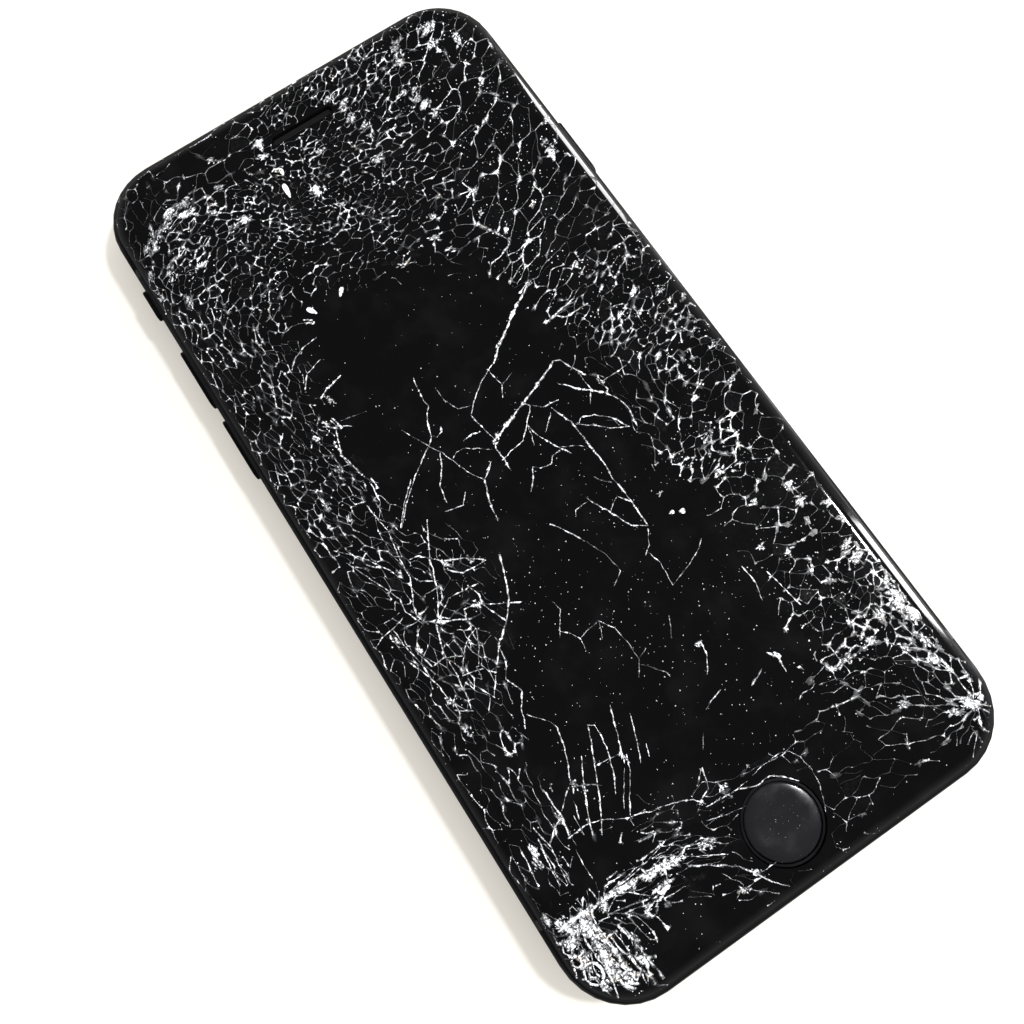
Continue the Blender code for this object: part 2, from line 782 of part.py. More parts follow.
def screw_places():
    """Where the board is screwed down, as (name, x, y)."""
    return (
        ("board_screw_top_left", arm_left + SCREW_SPACE, arm_bottom + SCREW_SPACE),
        ("board_screw_top_right", notch_x - SCREW_SPACE, board_top - SCREW_SPACE),
        ("board_screw_middle", board_right - SCREW_SPACE, notch_y - SCREW_SPACE),
        ("board_screw_bottom", board_left + SCREW_SPACE, board_bottom + SCREW_SPACE),
    )


def make_bands(housing):
    """A plastic strip let into the case across the back and both sides, near each end."""
    depth = BAND_DEPTH + SEAT
    core = phone_blank("groove_core", inset=depth)
    for name, y in (("antenna_band_top", band_y), ("antenna_band_bottom", -band_y)):
        size = (BODY_WIDTH + beyond, BAND_WIDTH + 2 * SEAT, rim - back + beyond)
        middle = (rim + back + beyond) / 2 - beyond
        groove = box(name + "_groove", size, (0, y, middle))
        cut(groove, core)
        cut(housing, groove)
        band = phone_blank(name, finish=black_plastic)
        stretch = (BODY_WIDTH + beyond, BAND_WIDTH, size[2])
        keep_common(band, box(name + "_length", stretch, (0, y, middle)))
        cut(band, phone_blank(name + "_core", inset=BAND_DEPTH))
        top = block(
            name + "_top",
            (-half_width - beyond, y - BAND_WIDTH, rim - SEAT),
            (half_width + beyond, y + BAND_WIDTH, glass_high + beyond),
        )
        cut(band, top)


def make_housing():
    """The case: back and sides in one, with a pocket for everything inside."""
    housing = phone_blank("rear_housing", finish=black_metal)
    reach = (half_width + beyond, half_length + beyond)
    lid = block("above_rim", (-reach[0], -reach[1], rim), (*reach, glass_high + beyond))
    pocket = layer(
        "pocket",
        rounded_rectangle(pocket_width, pocket_length, pocket_corner),
        floor,
        glass_high + beyond,
    )
    cut(housing, lid, pocket)
    make_bands(housing)
    for name, *place in screw_places():
        post = (BOSS_RADIUS, floor - SEAT, board_low - SEAT)
        bore = (SHANK_RADIUS + SEAT, floor + SEAT, board_high + SEAT)
        join(housing, upright(name + "_boss", *post, None, place, SMALL_STEPS))
        cut(housing, upright(name + "_bore", *bore, None, place, SMALL_STEPS))
    button_slot = slot_outline(BUTTON_LENGTH + 2 * SEAT, BUTTON_HEIGHT + 2 * SEAT)
    cut(
        housing,
        side_cutter("volume_up_slot", button_slot, -1, volume_up_y, side_middle),
        side_cutter("volume_down_slot", button_slot, -1, volume_down_y, side_middle),
        side_cutter("power_slot", button_slot, 1, power_y, side_middle),
        side_cutter(
            "switch_slot",
            rounded_rectangle(
                SWITCH_LENGTH + 2 * SEAT,
                SWITCH_SLOT_HEIGHT + 2 * SEAT,
                LEVER_HEIGHT / 2 + SEAT,
                SLOT_STEPS,
            ),
            -1,
            switch_y,
            side_middle,
        ),
        side_cutter(
            "tray_slot",
            slot_outline(TRAY_FACE_LENGTH + 2 * SEAT, TRAY_FACE_HEIGHT + 2 * SEAT),
            1,
            tray_y,
            tray_middle,
        ),
        end_cutter("port_slot", slot_outline(PORT_LENGTH, PORT_HEIGHT), 0, port_middle),
    )
    for side in (-1, 1):
        hole = circle(END_SCREW_RADIUS + SEAT, SMALL_STEPS)
        cut(housing, end_cutter(f"end_screw_hole_{side}", hole, side * end_screw_x, port_middle))
        for index in range(hole_count):
            x = side * (last_hole_x - index * HOLE_PITCH)
            hole = circle(HOLE_RADIUS, SMALL_STEPS)
            cut(housing, end_cutter(f"sound_hole_{side}_{index}", hole, x, port_middle))
    low = back - beyond
    high = floor + BACK_WALL / 2
    cut(
        housing,
        upright("camera_hole", ring_hole, low, high, None, (camera_x, camera_y)),
        upright("flash_hole", FLASH_RADIUS + SEAT, low, high, None, (flash_x, camera_y)),
        upright("rear_mic_hole", REAR_MIC_RADIUS, low, high, None, (rear_mic_x, camera_y), SMALL_STEPS),
    )


# Rear camera and flash


def make_rear_camera():
    """Raised ring with an inner flange, its window, the camera behind it and the flash."""
    centre = (camera_x, camera_y)
    flange_high = floor + SEAT + RING_FLANGE_THICKNESS
    inner = RING_RADIUS - RING_WALL
    ring = [
        (RING_RADIUS + RING_FLANGE, flange_high),
        (RING_RADIUS + RING_FLANGE, floor + SEAT),
        (RING_RADIUS, floor + SEAT),
        (RING_RADIUS, 0),
        (inner, 0),
        (inner, flange_high),
    ]
    turned("camera_ring", ring, black_metal, (*centre, 0), closed=True)
    window_high = WINDOW_DEPTH + WINDOW_THICKNESS
    upright("camera_window", inner - SEAT, WINDOW_DEPTH, window_high, clear_glass, centre)
    block_low = flange_high + SEAT
    square = rectangle(CAMERA_BLOCK, CAMERA_BLOCK)
    camera = layer("rear_camera", square, block_low, battery_high, black_plastic, centre)
    barrel = upright(
        "camera_barrel", BARREL_RADIUS, window_high + SEAT, block_low + BACK_WALL, None, centre
    )
    join(camera, barrel)
    lens_flange_high = floor + SEAT + FLASH_FLANGE_THICKNESS
    lens = [
        (0, lens_flange_high),
        (FLASH_RADIUS + FLASH_FLANGE, lens_flange_high),
        (FLASH_RADIUS + FLASH_FLANGE, floor + SEAT),
        (FLASH_RADIUS, floor + SEAT),
        (FLASH_RADIUS, back),
        (0, back),
    ]
    turned("flash_lens", lens, clear_glass, (flash_x, camera_y, 0))
    low = lens_flange_high + SEAT
    side = 2 * FLASH_RADIUS
    layer(
        "flash_board",
        rectangle(side, side),
        low,
        low + FLASH_BOARD_THICKNESS,
        board_green,
        (flash_x, camera_y),
    )


# Side buttons and ring switch

flange_outer = pocket_side - SEAT
flange_inner = flange_outer - BUTTON_FLANGE
bracket_outer = flange_inner - BUTTON_TRAVEL - SEAT
bracket_top = panel_low - SEAT


def make_cap(name, side, y, z, length, height, flange_height):
    """A button: a bar through the wall and a longer flange inside that keeps it in."""
    outer = half_width + BUTTON_PROUD
    inner = flange_inner + BUTTON_FLANGE / 2
    middle = side * (outer + inner) / 2
    cap = plate(name, slot_outline(length, height), outer - inner, (middle, y, z), button_black, "X")
    round_edges(cap, BUTTON_EDGE)
    flange = plate(
        name + "_flange",
        slot_outline(length + 2 * BUTTON_FLANGE, flange_height),
        BUTTON_FLANGE,
        (side * (flange_outer + flange_inner) / 2, y, z),
        None,
        "X",
    )
    join(cap, flange)


def make_bracket(name, side, low_y, high_y):
    """An upright steel plate behind the buttons that carries their switches."""
    high_z = bracket_top
    low_z = 2 * side_middle - high_z
    inner = bracket_outer - BRACKET_THICKNESS
    xs = sorted((side * bracket_outer, side * inner))
    block(name, (xs[0], low_y, low_z), (xs[1], high_y, high_z), bright_steel)


def make_side_buttons():
    for name, side, y in (
        ("volume_up_button", -1, volume_up_y),
        ("volume_down_button", -1, volume_down_y),
        ("power_button", 1, power_y),
    ):
        flange_height = BUTTON_HEIGHT + 2 * BUTTON_FLANGE
        make_cap(name, side, y, side_middle, BUTTON_LENGTH, BUTTON_HEIGHT, flange_height)
    half = BUTTON_LENGTH / 2
    make_bracket("volume_bracket", -1, volume_down_y - half, volume_up_y + half)
    make_bracket("power_bracket", 1, power_y - half, power_y + half)
    lever_z = side_middle + (SWITCH_SLOT_HEIGHT - LEVER_HEIGHT) / 2
    flange_height = LEVER_HEIGHT - 2 * BUTTON_EDGE
    make_cap("ring_switch_lever", -1, switch_y, lever_z, SWITCH_LENGTH, LEVER_HEIGHT, flange_height)
    half = SWITCH_LENGTH / 2
    low = (-bracket_outer, switch_y - half, cover_low)
    high = (SWITCH_BODY_DEPTH - bracket_outer, switch_y + half, battery_high)
    block("ring_switch_body", low, high, black_plastic)


# Card tray

tray_high = battery_high - SEAT
tray_low = tray_high - TRAY_THICKNESS
tray_middle = (tray_high + tray_low) / 2
tray_inner_x = half_width - TRAY_DEPTH
reader_inner_x = tray_inner_x - SEAT - READER_WALL


def make_card_tray():
    """Tray with a flush end face, the card lying in it and the open reader that guides it."""
    face_form = phone_blank("tray_form")
    outer = half_width + beyond
    inner = half_width - WALL + SEAT
    tray = plate(
        "sim_tray",
        slot_outline(TRAY_FACE_LENGTH, TRAY_FACE_HEIGHT),
        outer - inner,
        ((outer + inner) / 2, tray_y, tray_middle),
        bright_steel,
        "X",
    )
    tray.data.materials[0] = black_metal
    keep_common(tray, face_form)
    half = TRAY_WIDTH / 2
    tongue = block(
        "tray_tongue",
        (tray_inner_x, tray_y - half, tray_low),
        (inner + WALL / 2, tray_y + half, tray_high),
    )
    card_right = tray_inner_x + TRAY_RIM + SEAT + CARD[0]
    card_floor = tray_high - CARD_THICKNESS - SEAT
    pocket = block(
        "card_pocket",
        (tray_inner_x + TRAY_RIM, tray_y - CARD[1] / 2 - SEAT, card_floor),
        (card_right + SEAT, tray_y + CARD[1] / 2 + SEAT, tray_high + beyond),
    )
    join(tray, tongue)
    cut(tray, pocket)
    block(
        "sim_card",
        (card_right - CARD[0], tray_y - CARD[1] / 2, card_floor + SEAT),
        (card_right, tray_y + CARD[1] / 2, tray_high),
        white_card,
    )
    side = half + SEAT
    low = tray_low - SEAT - READER_FLOOR
    end = board_right - SEAT
    reader = block(
        "sim_reader",
        (reader_inner_x, tray_y - side - READER_WALL, low),
        (end, tray_y + side + READER_WALL, tray_high),
        bright_steel,
    )
    channel = block(
        "reader_channel",
        (reader_inner_x + READER_WALL, tray_y - side, tray_low - SEAT),
        (end + beyond, tray_y + side, tray_high + beyond),
    )
    cut(reader, channel)


# Battery and board


def make_battery():
    """Battery pouch on two strips of adhesive."""
    width = battery_right - battery_left
    length = battery_top - battery_bottom
    centre = ((battery_left + battery_right) / 2, (battery_top + battery_bottom) / 2)
    outline = rounded_rectangle(width, length, BATTERY_CORNER, SLOT_STEPS)
    layer("battery", outline, battery_low, battery_high, cell_grey, centre)
    strip = rectangle(STRIP_WIDTH, length - 2 * STRIP_WIDTH)
    for name, side in (("battery_strip_left", -1), ("battery_strip_right", 1)):
        place = (centre[0] + side * width / 4, centre[1])
        layer(name, strip, floor + SEAT, floor + SEAT + STRIP_THICKNESS, white_card, place)


def make_board():
    """L-shaped circuit board with its covers, connectors and screws."""
    outline = [
        (board_left, board_bottom),
        (board_right, board_bottom),
        (board_right, notch_y),
        (notch_x, notch_y),
        (notch_x, board_top),
        (arm_left, board_top),
        (arm_left, arm_bottom),
        (board_left, arm_bottom),
    ]
    holes = [circle(SHANK_RADIUS + SEAT, SMALL_STEPS, (x, y)) for _, x, y in screw_places()]
    layer("logic_board", outline, board_low, board_high, board_green, holes=holes)
    screw = [
        (0, board_high + SEAT + SCREW_HEAD_HEIGHT),
        (SCREW_HEAD_RADIUS, board_high + SEAT + SCREW_HEAD_HEIGHT),
        (SCREW_HEAD_RADIUS, board_high + SEAT),
        (SHANK_RADIUS, board_high + SEAT),
        (SHANK_RADIUS, floor + 2 * SEAT),
        (0, floor + 2 * SEAT),
    ]
    for name, x, y in screw_places():
        turned(name, screw, bright_steel, (x, y, 0), steps=SMALL_STEPS)
    clear = SCREW_SPACE + SCREW_HEAD_RADIUS + SEAT
    edge = 3 * SEAT
    tray_half = TRAY_WIDTH / 2 + READER_WALL + edge
    chip_bottom = tray_y + tray_half
    radio_top = tray_y - tray_half - BATTERY_CONNECTOR[1] - edge
    block(
        "processor_cover",
        (board_left + edge, chip_bottom, cover_low),
        (board_right - edge, arm_bottom - edge, cover_high),
        bright_steel,
    )
    block(
        "radio_cover",
        (board_left + edge, board_bottom + clear, cover_low),
        (board_right - edge, radio_top, cover_high),
        bright_steel,
    )
    block(
        "battery_connector",
        (board_left + edge, radio_top + edge, cover_low),
        (board_left + edge + BATTERY_CONNECTOR[0], radio_top + BATTERY_CONNECTOR[1], cover_high),
        black_plastic,
    )
    block(
        "power_chip_cover",
        (arm_left + clear, arm_bottom + edge, cover_low),
        (board_left - edge, board_top - clear, cover_high),
        bright_steel,
    )
    cover_top = cover_low + CHIP_COVER_HEIGHT / 2
    cable_right = board_left + edge + DISPLAY_CABLE_WIDTH
    block(
        "connector_cover",
        (board_left + edge, arm_bottom + edge, cover_low),
        (cable_right, notch_y - edge, cover_top),
        bright_steel,
    )
    block(
        "display_cable",
        (board_left + edge, arm_bottom + edge, cover_top + SEAT),
        (cable_right, notch_y - edge, cover_top + SEAT + FLEX_THICKNESS),
        copper_flex,
    )


# Bottom end

shell_front = -pocket_end + SEAT
part_front = shell_front + MESH_THICKNESS + 2 * SEAT
bay_top = battery_bottom - 2 * SEAT


def make_port():
    """Charging port: a closed shell behind its opening, with the flat cable to the board."""
    length = PORT_DEPTH + PORT_BACK
    middle = shell_front + length / 2
    shell = plate(
        "charge_port",
        slot_outline(PORT_LENGTH + 2 * PORT_SHELL, port_outer_height),
        length,
        (0, middle, port_middle),
        bright_steel,
        "Y",
    )
    opening = plate(
        "port_opening",
        slot_outline(PORT_LENGTH, PORT_HEIGHT),
        PORT_DEPTH + beyond,
        (0, shell_front + (PORT_DEPTH - beyond) / 2, port_middle),
        None,
        "Y",
    )
    cut(shell, opening)
    low = floor + SEAT
    near = shell_front + length + SEAT
    left = -PORT_LENGTH / 2
    cross_low = bay_top - FLEX_BAND
    flex = [
        (left, near),
        (-left, near),
        (-left, cross_low),
        (board_left + 2 * FLEX_BAND, cross_low),
        (board_left + 2 * FLEX_BAND, board_bottom - 2 * SEAT),
        (board_left + FLEX_BAND, board_bottom - 2 * SEAT),
        (board_left + FLEX_BAND, bay_top),
        (left, bay_top),
    ]
    layer("charge_port_flex", flex, low, low + FLEX_THICKNESS, copper_flex)


def make_end_parts():
    """Loudspeaker, vibration motor, antenna, meshes and screws at the bottom end."""
    clear = end_screw_x + END_SCREW_RADIUS + SEAT
    low = floor + SEAT
    top = bay_top - FLEX_BAND - 2 * SEAT
    block(
        "loudspeaker",
        (clear, top - SPEAKER[1], low),
        (clear + SPEAKER[0], top, battery_high),
        black_plastic,
    )
    block(
        "vibration_motor",
        (-clear - MOTOR[0], top - MOTOR[1], low),
        (-clear, top, battery_high),
        bright_steel,
    )
    block(
        "antenna_carrier",
        (-pocket_side + pocket_corner, part_front, low),
        (-clear, top - MOTOR[1] - 2 * SEAT, port_middle),
        black_plastic,
    )
    mesh_outline = slot_outline(HOLE_PITCH * hole_count, 3 * HOLE_RADIUS)
    for name, side in (("speaker_mesh", 1), ("microphone_mesh", -1)):
        y = shell_front + MESH_THICKNESS / 2
        place = (side * mesh_centre_x, y, port_middle)
        plate(name, mesh_outline, MESH_THICKNESS, place, dark_mesh, "Y")
    screw = [
        (0, 0),
        (END_SCREW_RADIUS, 0),
        (END_SCREW_RADIUS, -END_SCREW_HEAD),
        (SHANK_RADIUS, -END_SCREW_HEAD),
        (SHANK_RADIUS, -END_SCREW_LENGTH),
        (0, -END_SCREW_LENGTH),
    ]
    for name, side in (("end_screw_left", -1), ("end_screw_right", 1)):
        place = (side * end_screw_x, -half_length + END_SCREW_DEPTH, port_middle)
        turned(name, screw, bright_steel, place, "Y", steps=SMALL_STEPS)
    cable_low = battery_high + SEAT / 2
    bracket_edge = home_y + HOME_BRACKET[1] / 2
    block(
        "home_button_cable",
        (-HOME_CABLE_WIDTH / 2, bracket_edge + SEAT, cable_low - FLEX_THICKNESS),
        (HOME_CABLE_WIDTH / 2, bay_top, cable_low),
        copper_flex,
    )
    block(
        "top_antenna",
        (arm_left + SCREW_SPACE, sensor_y - TOP_ANTENNA_LENGTH, floor + SEAT),
        (front_camera_x, sensor_y, board_low - 2 * SEAT),
        copper_flex,
    )


clear_scene()
make_housing()
make_rear_camera()
make_battery()
make_board()
make_card_tray()
make_side_buttons()
make_port()
make_end_parts()
make_screen()
make_front_frame()
make_top_parts()
make_home_button()
make_cover_glass()
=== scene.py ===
"""Looks of a black slab phone with a shattered cover glass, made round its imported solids.

Metres, +Z up, the screen facing +Z. The cracks are placed by pixels of the 1024 x 1024 photograph,
which the camera casts onto the glass.
"""

import collections
import math
import random

import bmesh
import bpy
import numpy as np
from mathutils import Euler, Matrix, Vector, noise
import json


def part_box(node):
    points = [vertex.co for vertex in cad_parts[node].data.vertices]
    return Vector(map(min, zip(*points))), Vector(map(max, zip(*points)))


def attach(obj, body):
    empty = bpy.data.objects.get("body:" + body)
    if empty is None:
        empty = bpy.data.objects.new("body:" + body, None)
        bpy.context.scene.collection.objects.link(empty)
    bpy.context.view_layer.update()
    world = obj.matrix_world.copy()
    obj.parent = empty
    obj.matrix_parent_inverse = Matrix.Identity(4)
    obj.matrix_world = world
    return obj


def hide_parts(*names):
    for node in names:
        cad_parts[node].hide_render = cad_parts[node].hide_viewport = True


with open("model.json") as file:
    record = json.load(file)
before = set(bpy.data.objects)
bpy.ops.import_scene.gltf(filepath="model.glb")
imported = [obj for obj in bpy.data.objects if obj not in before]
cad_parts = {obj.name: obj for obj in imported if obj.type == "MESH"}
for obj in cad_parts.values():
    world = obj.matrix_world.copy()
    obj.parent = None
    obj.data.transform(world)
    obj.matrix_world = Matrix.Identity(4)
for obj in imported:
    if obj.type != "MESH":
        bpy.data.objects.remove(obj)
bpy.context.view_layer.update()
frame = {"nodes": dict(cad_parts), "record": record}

MM = 0.001

# Camera, fitted to the phone's outline in the photograph
PHOTO_SIDE = 1024
SENSOR = 36.0
LENS = 27.669
CAMERA_PLACE = Vector((-0.0154426, -0.0263583, 0.1138063))
CAMERA_TURN = Euler((0.1906, 0.0261, -0.5842))

# Glass
CORNER_RADIUS = 9.9 * MM
SIDE_ROUNDING = 3.3 * MM
FACE_DEPTH = 0.05 * MM  # from the glass's highest point down to its unbroken face
EDGE_STEPS = 14
CORNER_STEPS = 28
HOLE_STEPS = 96
HOLE_GAP = 0.15  # millimetres round the home button and the earpiece slot
CUT_DEPTH = 4 * MM
FLAT_RIM = 0.3 * MM
GLASS_CREASE = math.radians(25)
SOLID_CREASE = math.radians(32)
WELD = 2e-6
glass_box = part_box("cover_glass")
glass_low = glass_box[0].z
face = glass_box[1].z - FACE_DEPTH
case_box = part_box("rear_housing")
half_width = case_box[1].x
half_length = case_box[1].y
ring_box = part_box("home_button_ring")
home_centre = (ring_box[0] + ring_box[1]) / 2
home_hole = (ring_box[1].x - ring_box[0].x) / 2 + HOLE_GAP * MM
slot_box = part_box("earpiece_mesh")
slot_centre = (slot_box[0] + slot_box[1]) / 2
slot_half = (slot_box[1] - slot_box[0]) / 2 + Vector((HOLE_GAP, HOLE_GAP, 0)) * MM


# Camera and the photograph's pixels


def make_camera():
    """The camera stands where the photograph was taken from."""
    data = bpy.data.cameras.new("camera")
    data.sensor_width = SENSOR
    data.lens = LENS
    data.clip_start = MM
    camera = bpy.data.objects.new("camera", data)
    camera.location = CAMERA_PLACE
    camera.rotation_euler = CAMERA_TURN
    bpy.context.scene.collection.objects.link(camera)
    bpy.context.scene.camera = camera


def on_glass(pixel):
    """The point of the glass's face that a pixel of the photograph shows."""
    focal = LENS / SENSOR * PHOTO_SIDE
    middle = PHOTO_SIDE / 2
    ray = Vector(((pixel[0] - middle) / focal, (middle - pixel[1]) / focal, -1))
    ray.rotate(CAMERA_TURN)
    point = CAMERA_PLACE + ray * ((face - CAMERA_PLACE.z) / ray.z)
    return point.x, point.y


# Nodes and finishes


class Number:
    """A number socket of a node tree. Python's operators on it add Math nodes."""

    def __init__(self, tree, socket):
        self.tree = tree
        self.socket = socket

    def math(self, operation, first, second):
        node = self.tree.add("ShaderNodeMath", {"operation": operation}, {0: first, 1: second})
        return Number(self.tree, node.outputs[0])

    def __add__(self, other):
        return self.math("ADD", self, other)

    __radd__ = __add__

    def __sub__(self, other):
        return self.math("SUBTRACT", self, other)

    def __rsub__(self, other):
        return self.math("SUBTRACT", other, self)

    def __mul__(self, other):
        return self.math("MULTIPLY", self, other)

    __rmul__ = __mul__

    def __pow__(self, other):
        return self.math("POWER", self, other)


class Tree:
    """Nodes and their links."""

    def __init__(self, tree):
        self.nodes = tree.nodes
        self.links = tree.links

    def add(self, kind, settings=None, sockets=None):
        """A node of this kind: its settings first, then the values or links of its sockets."""
        node = self.nodes.new(kind)
        for name, value in (settings or {}).items():
            setattr(node, name, value)
        for name, value in (sockets or {}).items():
            self.join(node.inputs[name], value)
        return node

    def join(self, socket, value):
        if isinstance(value, Number):
            self.links.new(value.socket, socket)
        elif isinstance(value, bpy.types.NodeSocket):
            self.links.new(value, socket)
        elif isinstance(value, tuple) and len(value) == 3 and socket.type == "RGBA":
            socket.default_value = (*value, 1.0)
        else:
            socket.default_value = value

    def ease(self, value, low, high, bottom=0.0, top=1.0, curve="SMOOTHSTEP"):
        """Value brought from low..high to bottom..top."""
        sockets = {"Value": value, "From Min": low, "From Max": high, "To Min": bottom, "To Max": top}
        node = self.add("ShaderNodeMapRange", {"interpolation_type": curve}, sockets)
        return Number(self, node.outputs["Result"])


class Finish(Tree):
    """A Principled material built from nodes."""

    def __init__(self, name, colour, roughness, metallic=0.0):
        self.material = bpy.data.materials.new(name)
        self.material.use_nodes = True
        super().__init__(self.material.node_tree)
        self.shader = self.nodes["Principled BSDF"]
        self.feed("Base Color", colour)
        self.feed("Roughness", roughness)
        self.feed("Metallic", metallic)
        self.coordinates = self.add("ShaderNodeTexCoord").outputs["Object"]

    def feed(self, name, value):
        """Set or link a socket of the shader."""
        self.join(self.shader.inputs[name], value)

    def noise(self, size, detail=3.0, sharp=0.5, stretch=(1, 1, 1)):
        """Cloudy noise from 0 to 1, its grains about this many metres across."""
        stretched = {"Vector": self.coordinates, "Scale": stretch}
        place = self.add("ShaderNodeMapping", None, stretched).outputs[0]
        sockets = {"Vector": place, "Scale": 1 / size, "Detail": detail, "Roughness": sharp}
        return Number(self, self.add("ShaderNodeTexNoise", None, sockets).outputs["Fac"])

    def cells(self, size):
        """Distance to the nearest of scattered points, 0 to about 1."""
        sockets = {"Vector": self.coordinates, "Scale": 1 / size}
        return Number(self, self.add("ShaderNodeTexVoronoi", None, sockets).outputs["Distance"])

    def blend(self, share, first, second):
        """A colour between two."""
        return self.add("ShaderNodeMix", {"data_type": "RGBA"}, {0: share, 6: first, 7: second}).outputs[2]

    def attribute(self, name):
        node = self.add("ShaderNodeAttribute", {"attribute_name": name})
        return Number(self, node.outputs["Fac"])

    def bump(self, height, depth, strength=1.0):
        """Relief of this depth in metres."""
        sockets = {"Height": height, "Distance": depth, "Strength": strength}
        self.feed("Normal", self.add("ShaderNodeBump", None, sockets).outputs["Normal"])


def glass_finish():
    """Black glass with faint smears and a film of the finest dust."""
    finish = Finish("black_glass", (0.004, 0.004, 0.0048), 0.05)
    smears = finish.ease(finish.noise(11 * MM, 4, 0.6, (1, 0.35, 1)), 0.42, 0.72)
    film = finish.ease(finish.noise(0.35 * MM, 2, 0.7), 0.62, 0.8)
    finish.feed("Roughness", smears * 0.07 + film * 0.1 + 0.035)
    haze = finish.ease(finish.noise(6 * MM, 3, 0.6), 0.45, 0.75)
    colour = finish.blend(haze * 0.5 + film * 0.35, (0.0018, 0.0018, 0.0020), (0.0060, 0.0056, 0.0060))
    finish.feed("Base Color", colour)
    return finish


def plate_finish():
    """A loosened shard: black glass, some shards greyer in cloudy patches, a painted reflection."""
    finish = Finish("loosened_glass_painted_reflection", (0.006, 0.006, 0.007), 0.1)
    # Painted reflection: plates with a high whiteness are coloured greyer.
    grey = finish.ease(finish.attribute("whiteness"), 0.55, 1.0)
    cloud = finish.ease(finish.noise(0.5 * MM, 3, 0.7), 0.4, 0.7)
    colour = finish.blend(grey * cloud, (0.0020, 0.0020, 0.0022), (0.0085, 0.0085, 0.0092))
    finish.feed("Base Color", colour)
    finish.feed("Roughness", grey * 0.05 + cloud * 0.04 + 0.05)
    return finish


def crack_finish():
    """Broken glass edges: grey to white by their whiteness, which on the crack web holds a painted
    highlight, here and there tinted.
    """
    finish = Finish("broken_edges", (0.6, 0.6, 0.62), 0.32)
    grain = finish.ease(finish.noise(0.27 * MM, 3, 0.7), 0.36, 0.62, 0.14, 1.5)
    patches = finish.ease(finish.noise(2.6 * MM, 3, 0.6), 0.35, 0.65, 0.6, 1.25)
    # On the crack web this whiteness includes its painted highlight.
    light = finish.ease(finish.attribute("whiteness") * grain * patches, 0.03, 0.7)
    tint = finish.ease(finish.noise(1.4 * MM, 2, 0.5), 0.6, 0.75)
    cool = finish.blend(tint, (0.93, 0.94, 0.97), (0.97, 0.88, 0.78))
    finish.feed("Base Color", finish.blend(light, (0.006, 0.006, 0.007), cool))
    finish.bump(finish.noise(0.12 * MM, 2, 0.6), 0.02 * MM, 0.6)
    return finish


def case_finish():
    """Black anodised metal, satin, with a fine grain, greasy patches and rubbed edges."""
    finish = Finish("black_anodised", (0.013, 0.013, 0.015), 0.34, 0.85)
    grain = finish.noise(0.09 * MM, 2, 0.5)
    grease = finish.ease(finish.noise(9 * MM, 4, 0.65), 0.4, 0.7)
    rubbed = finish.ease(finish.noise(1.1 * MM, 4, 0.75), 0.66, 0.74)
    finish.feed("Base Color", finish.blend(rubbed * 0.6, (0.012, 0.012, 0.014), (0.06, 0.06, 0.063)))
    finish.feed("Roughness", grease * 0.16 + grain * 0.1 + 0.26)
    finish.bump(grain, 0.006 * MM, 0.35)
    return finish


def plain_finish(name, colour, roughness, metallic=0.0, size=0.4, spread=0.25, relief=0.004):
    """A finish whose colour and gloss vary a little in grains of this many millimetres."""
    finish = Finish(name, colour, roughness, metallic)
    grain = finish.noise(size * MM, 3, 0.6)
    dirt = finish.ease(finish.noise(size * 8 * MM, 3, 0.6), 0.45, 0.75)
    darker = tuple(part * (1 - spread) for part in colour)
    finish.feed("Base Color", finish.blend(grain * 0.6 + dirt * 0.4, colour, darker))
    finish.feed("Roughness", grain * 0.12 + dirt * 0.12 + (roughness - 0.1))
    finish.bump(grain, relief * MM, 0.5)
    return finish


def home_finish():
    """The home button's face: dark grey and smooth, with a little dust on it."""
    finish = Finish("home_button_face", (0.010, 0.0095, 0.011), 0.22)
    smears = finish.ease(finish.noise(3 * MM, 4, 0.6), 0.4, 0.7)
    dust = finish.ease(finish.cells(0.55 * MM), 0.09, 0.03)
    finish.feed("Base Color", finish.blend(dust * 0.7, (0.009, 0.0085, 0.010), (0.10, 0.10, 0.10)))
    finish.feed("Roughness", smears * 0.12 + dust * 0.3 + 0.16)
    return finish


def window_finish():
    """Coated lens glass, dark, with rings of the barrel behind it."""
    finish = Finish("lens_window", (0.004, 0.004, 0.006), 0.03)
    finish.feed("Coat Weight", 0.6)
    rings = finish.noise(1.3 * MM, 1, 0.4)
    finish.feed("Base Color", finish.blend(rings, (0.003, 0.003, 0.005), (0.012, 0.010, 0.022)))
    return finish


def mesh_finish():
    """Fine dark wire mesh."""
    finish = Finish("wire_mesh", (0.01, 0.01, 0.01), 0.85)
    finish.feed("Specular IOR Level", 0.1)
    weave = finish.cells(0.12 * MM)
    finish.feed("Base Color", finish.blend(weave, (0.010, 0.010, 0.010), (0.002, 0.002, 0.002)))
    finish.bump(weave, 0.03 * MM, 0.8)
    return finish


glass_black = glass_finish()
broken_edges = crack_finish()
shard_black = plate_finish()
pale_dust = plain_finish("pale_dust", (0.62, 0.61, 0.6), 0.8, size=0.1, spread=0.5)
case_black = case_finish()
SLOT_FINISHES = {
    "case_metal": case_black,
    "cover_glass": glass_black,
    "display_glass": glass_black,
    "button_face": home_finish(),
    "camera_glass": window_finish(),
    "flash_plastic": plain_finish("flash_lens", (0.72, 0.68, 0.5), 0.25, size=0.3, relief=0.02),
    "black_plastic": plain_finish("black_plastic", (0.017, 0.017, 0.019), 0.42),
    "white_plastic": plain_finish("white_plastic", (0.7, 0.7, 0.68), 0.5),
    "rubber": plain_finish("gasket_rubber", (0.015, 0.015, 0.015), 0.75),
    "dark_mesh": mesh_finish(),
    "steel": plain_finish("sheet_steel", (0.5, 0.5, 0.52), 0.32, 1.0),
    "battery_wrap": plain_finish("battery_wrap", (0.05, 0.05, 0.055), 0.42),
    "circuit_board": plain_finish("solder_mask", (0.02, 0.05, 0.03), 0.4),
    "flex_circuit": plain_finish("copper_film", (0.3, 0.14, 0.05), 0.42),
}


# Meshes


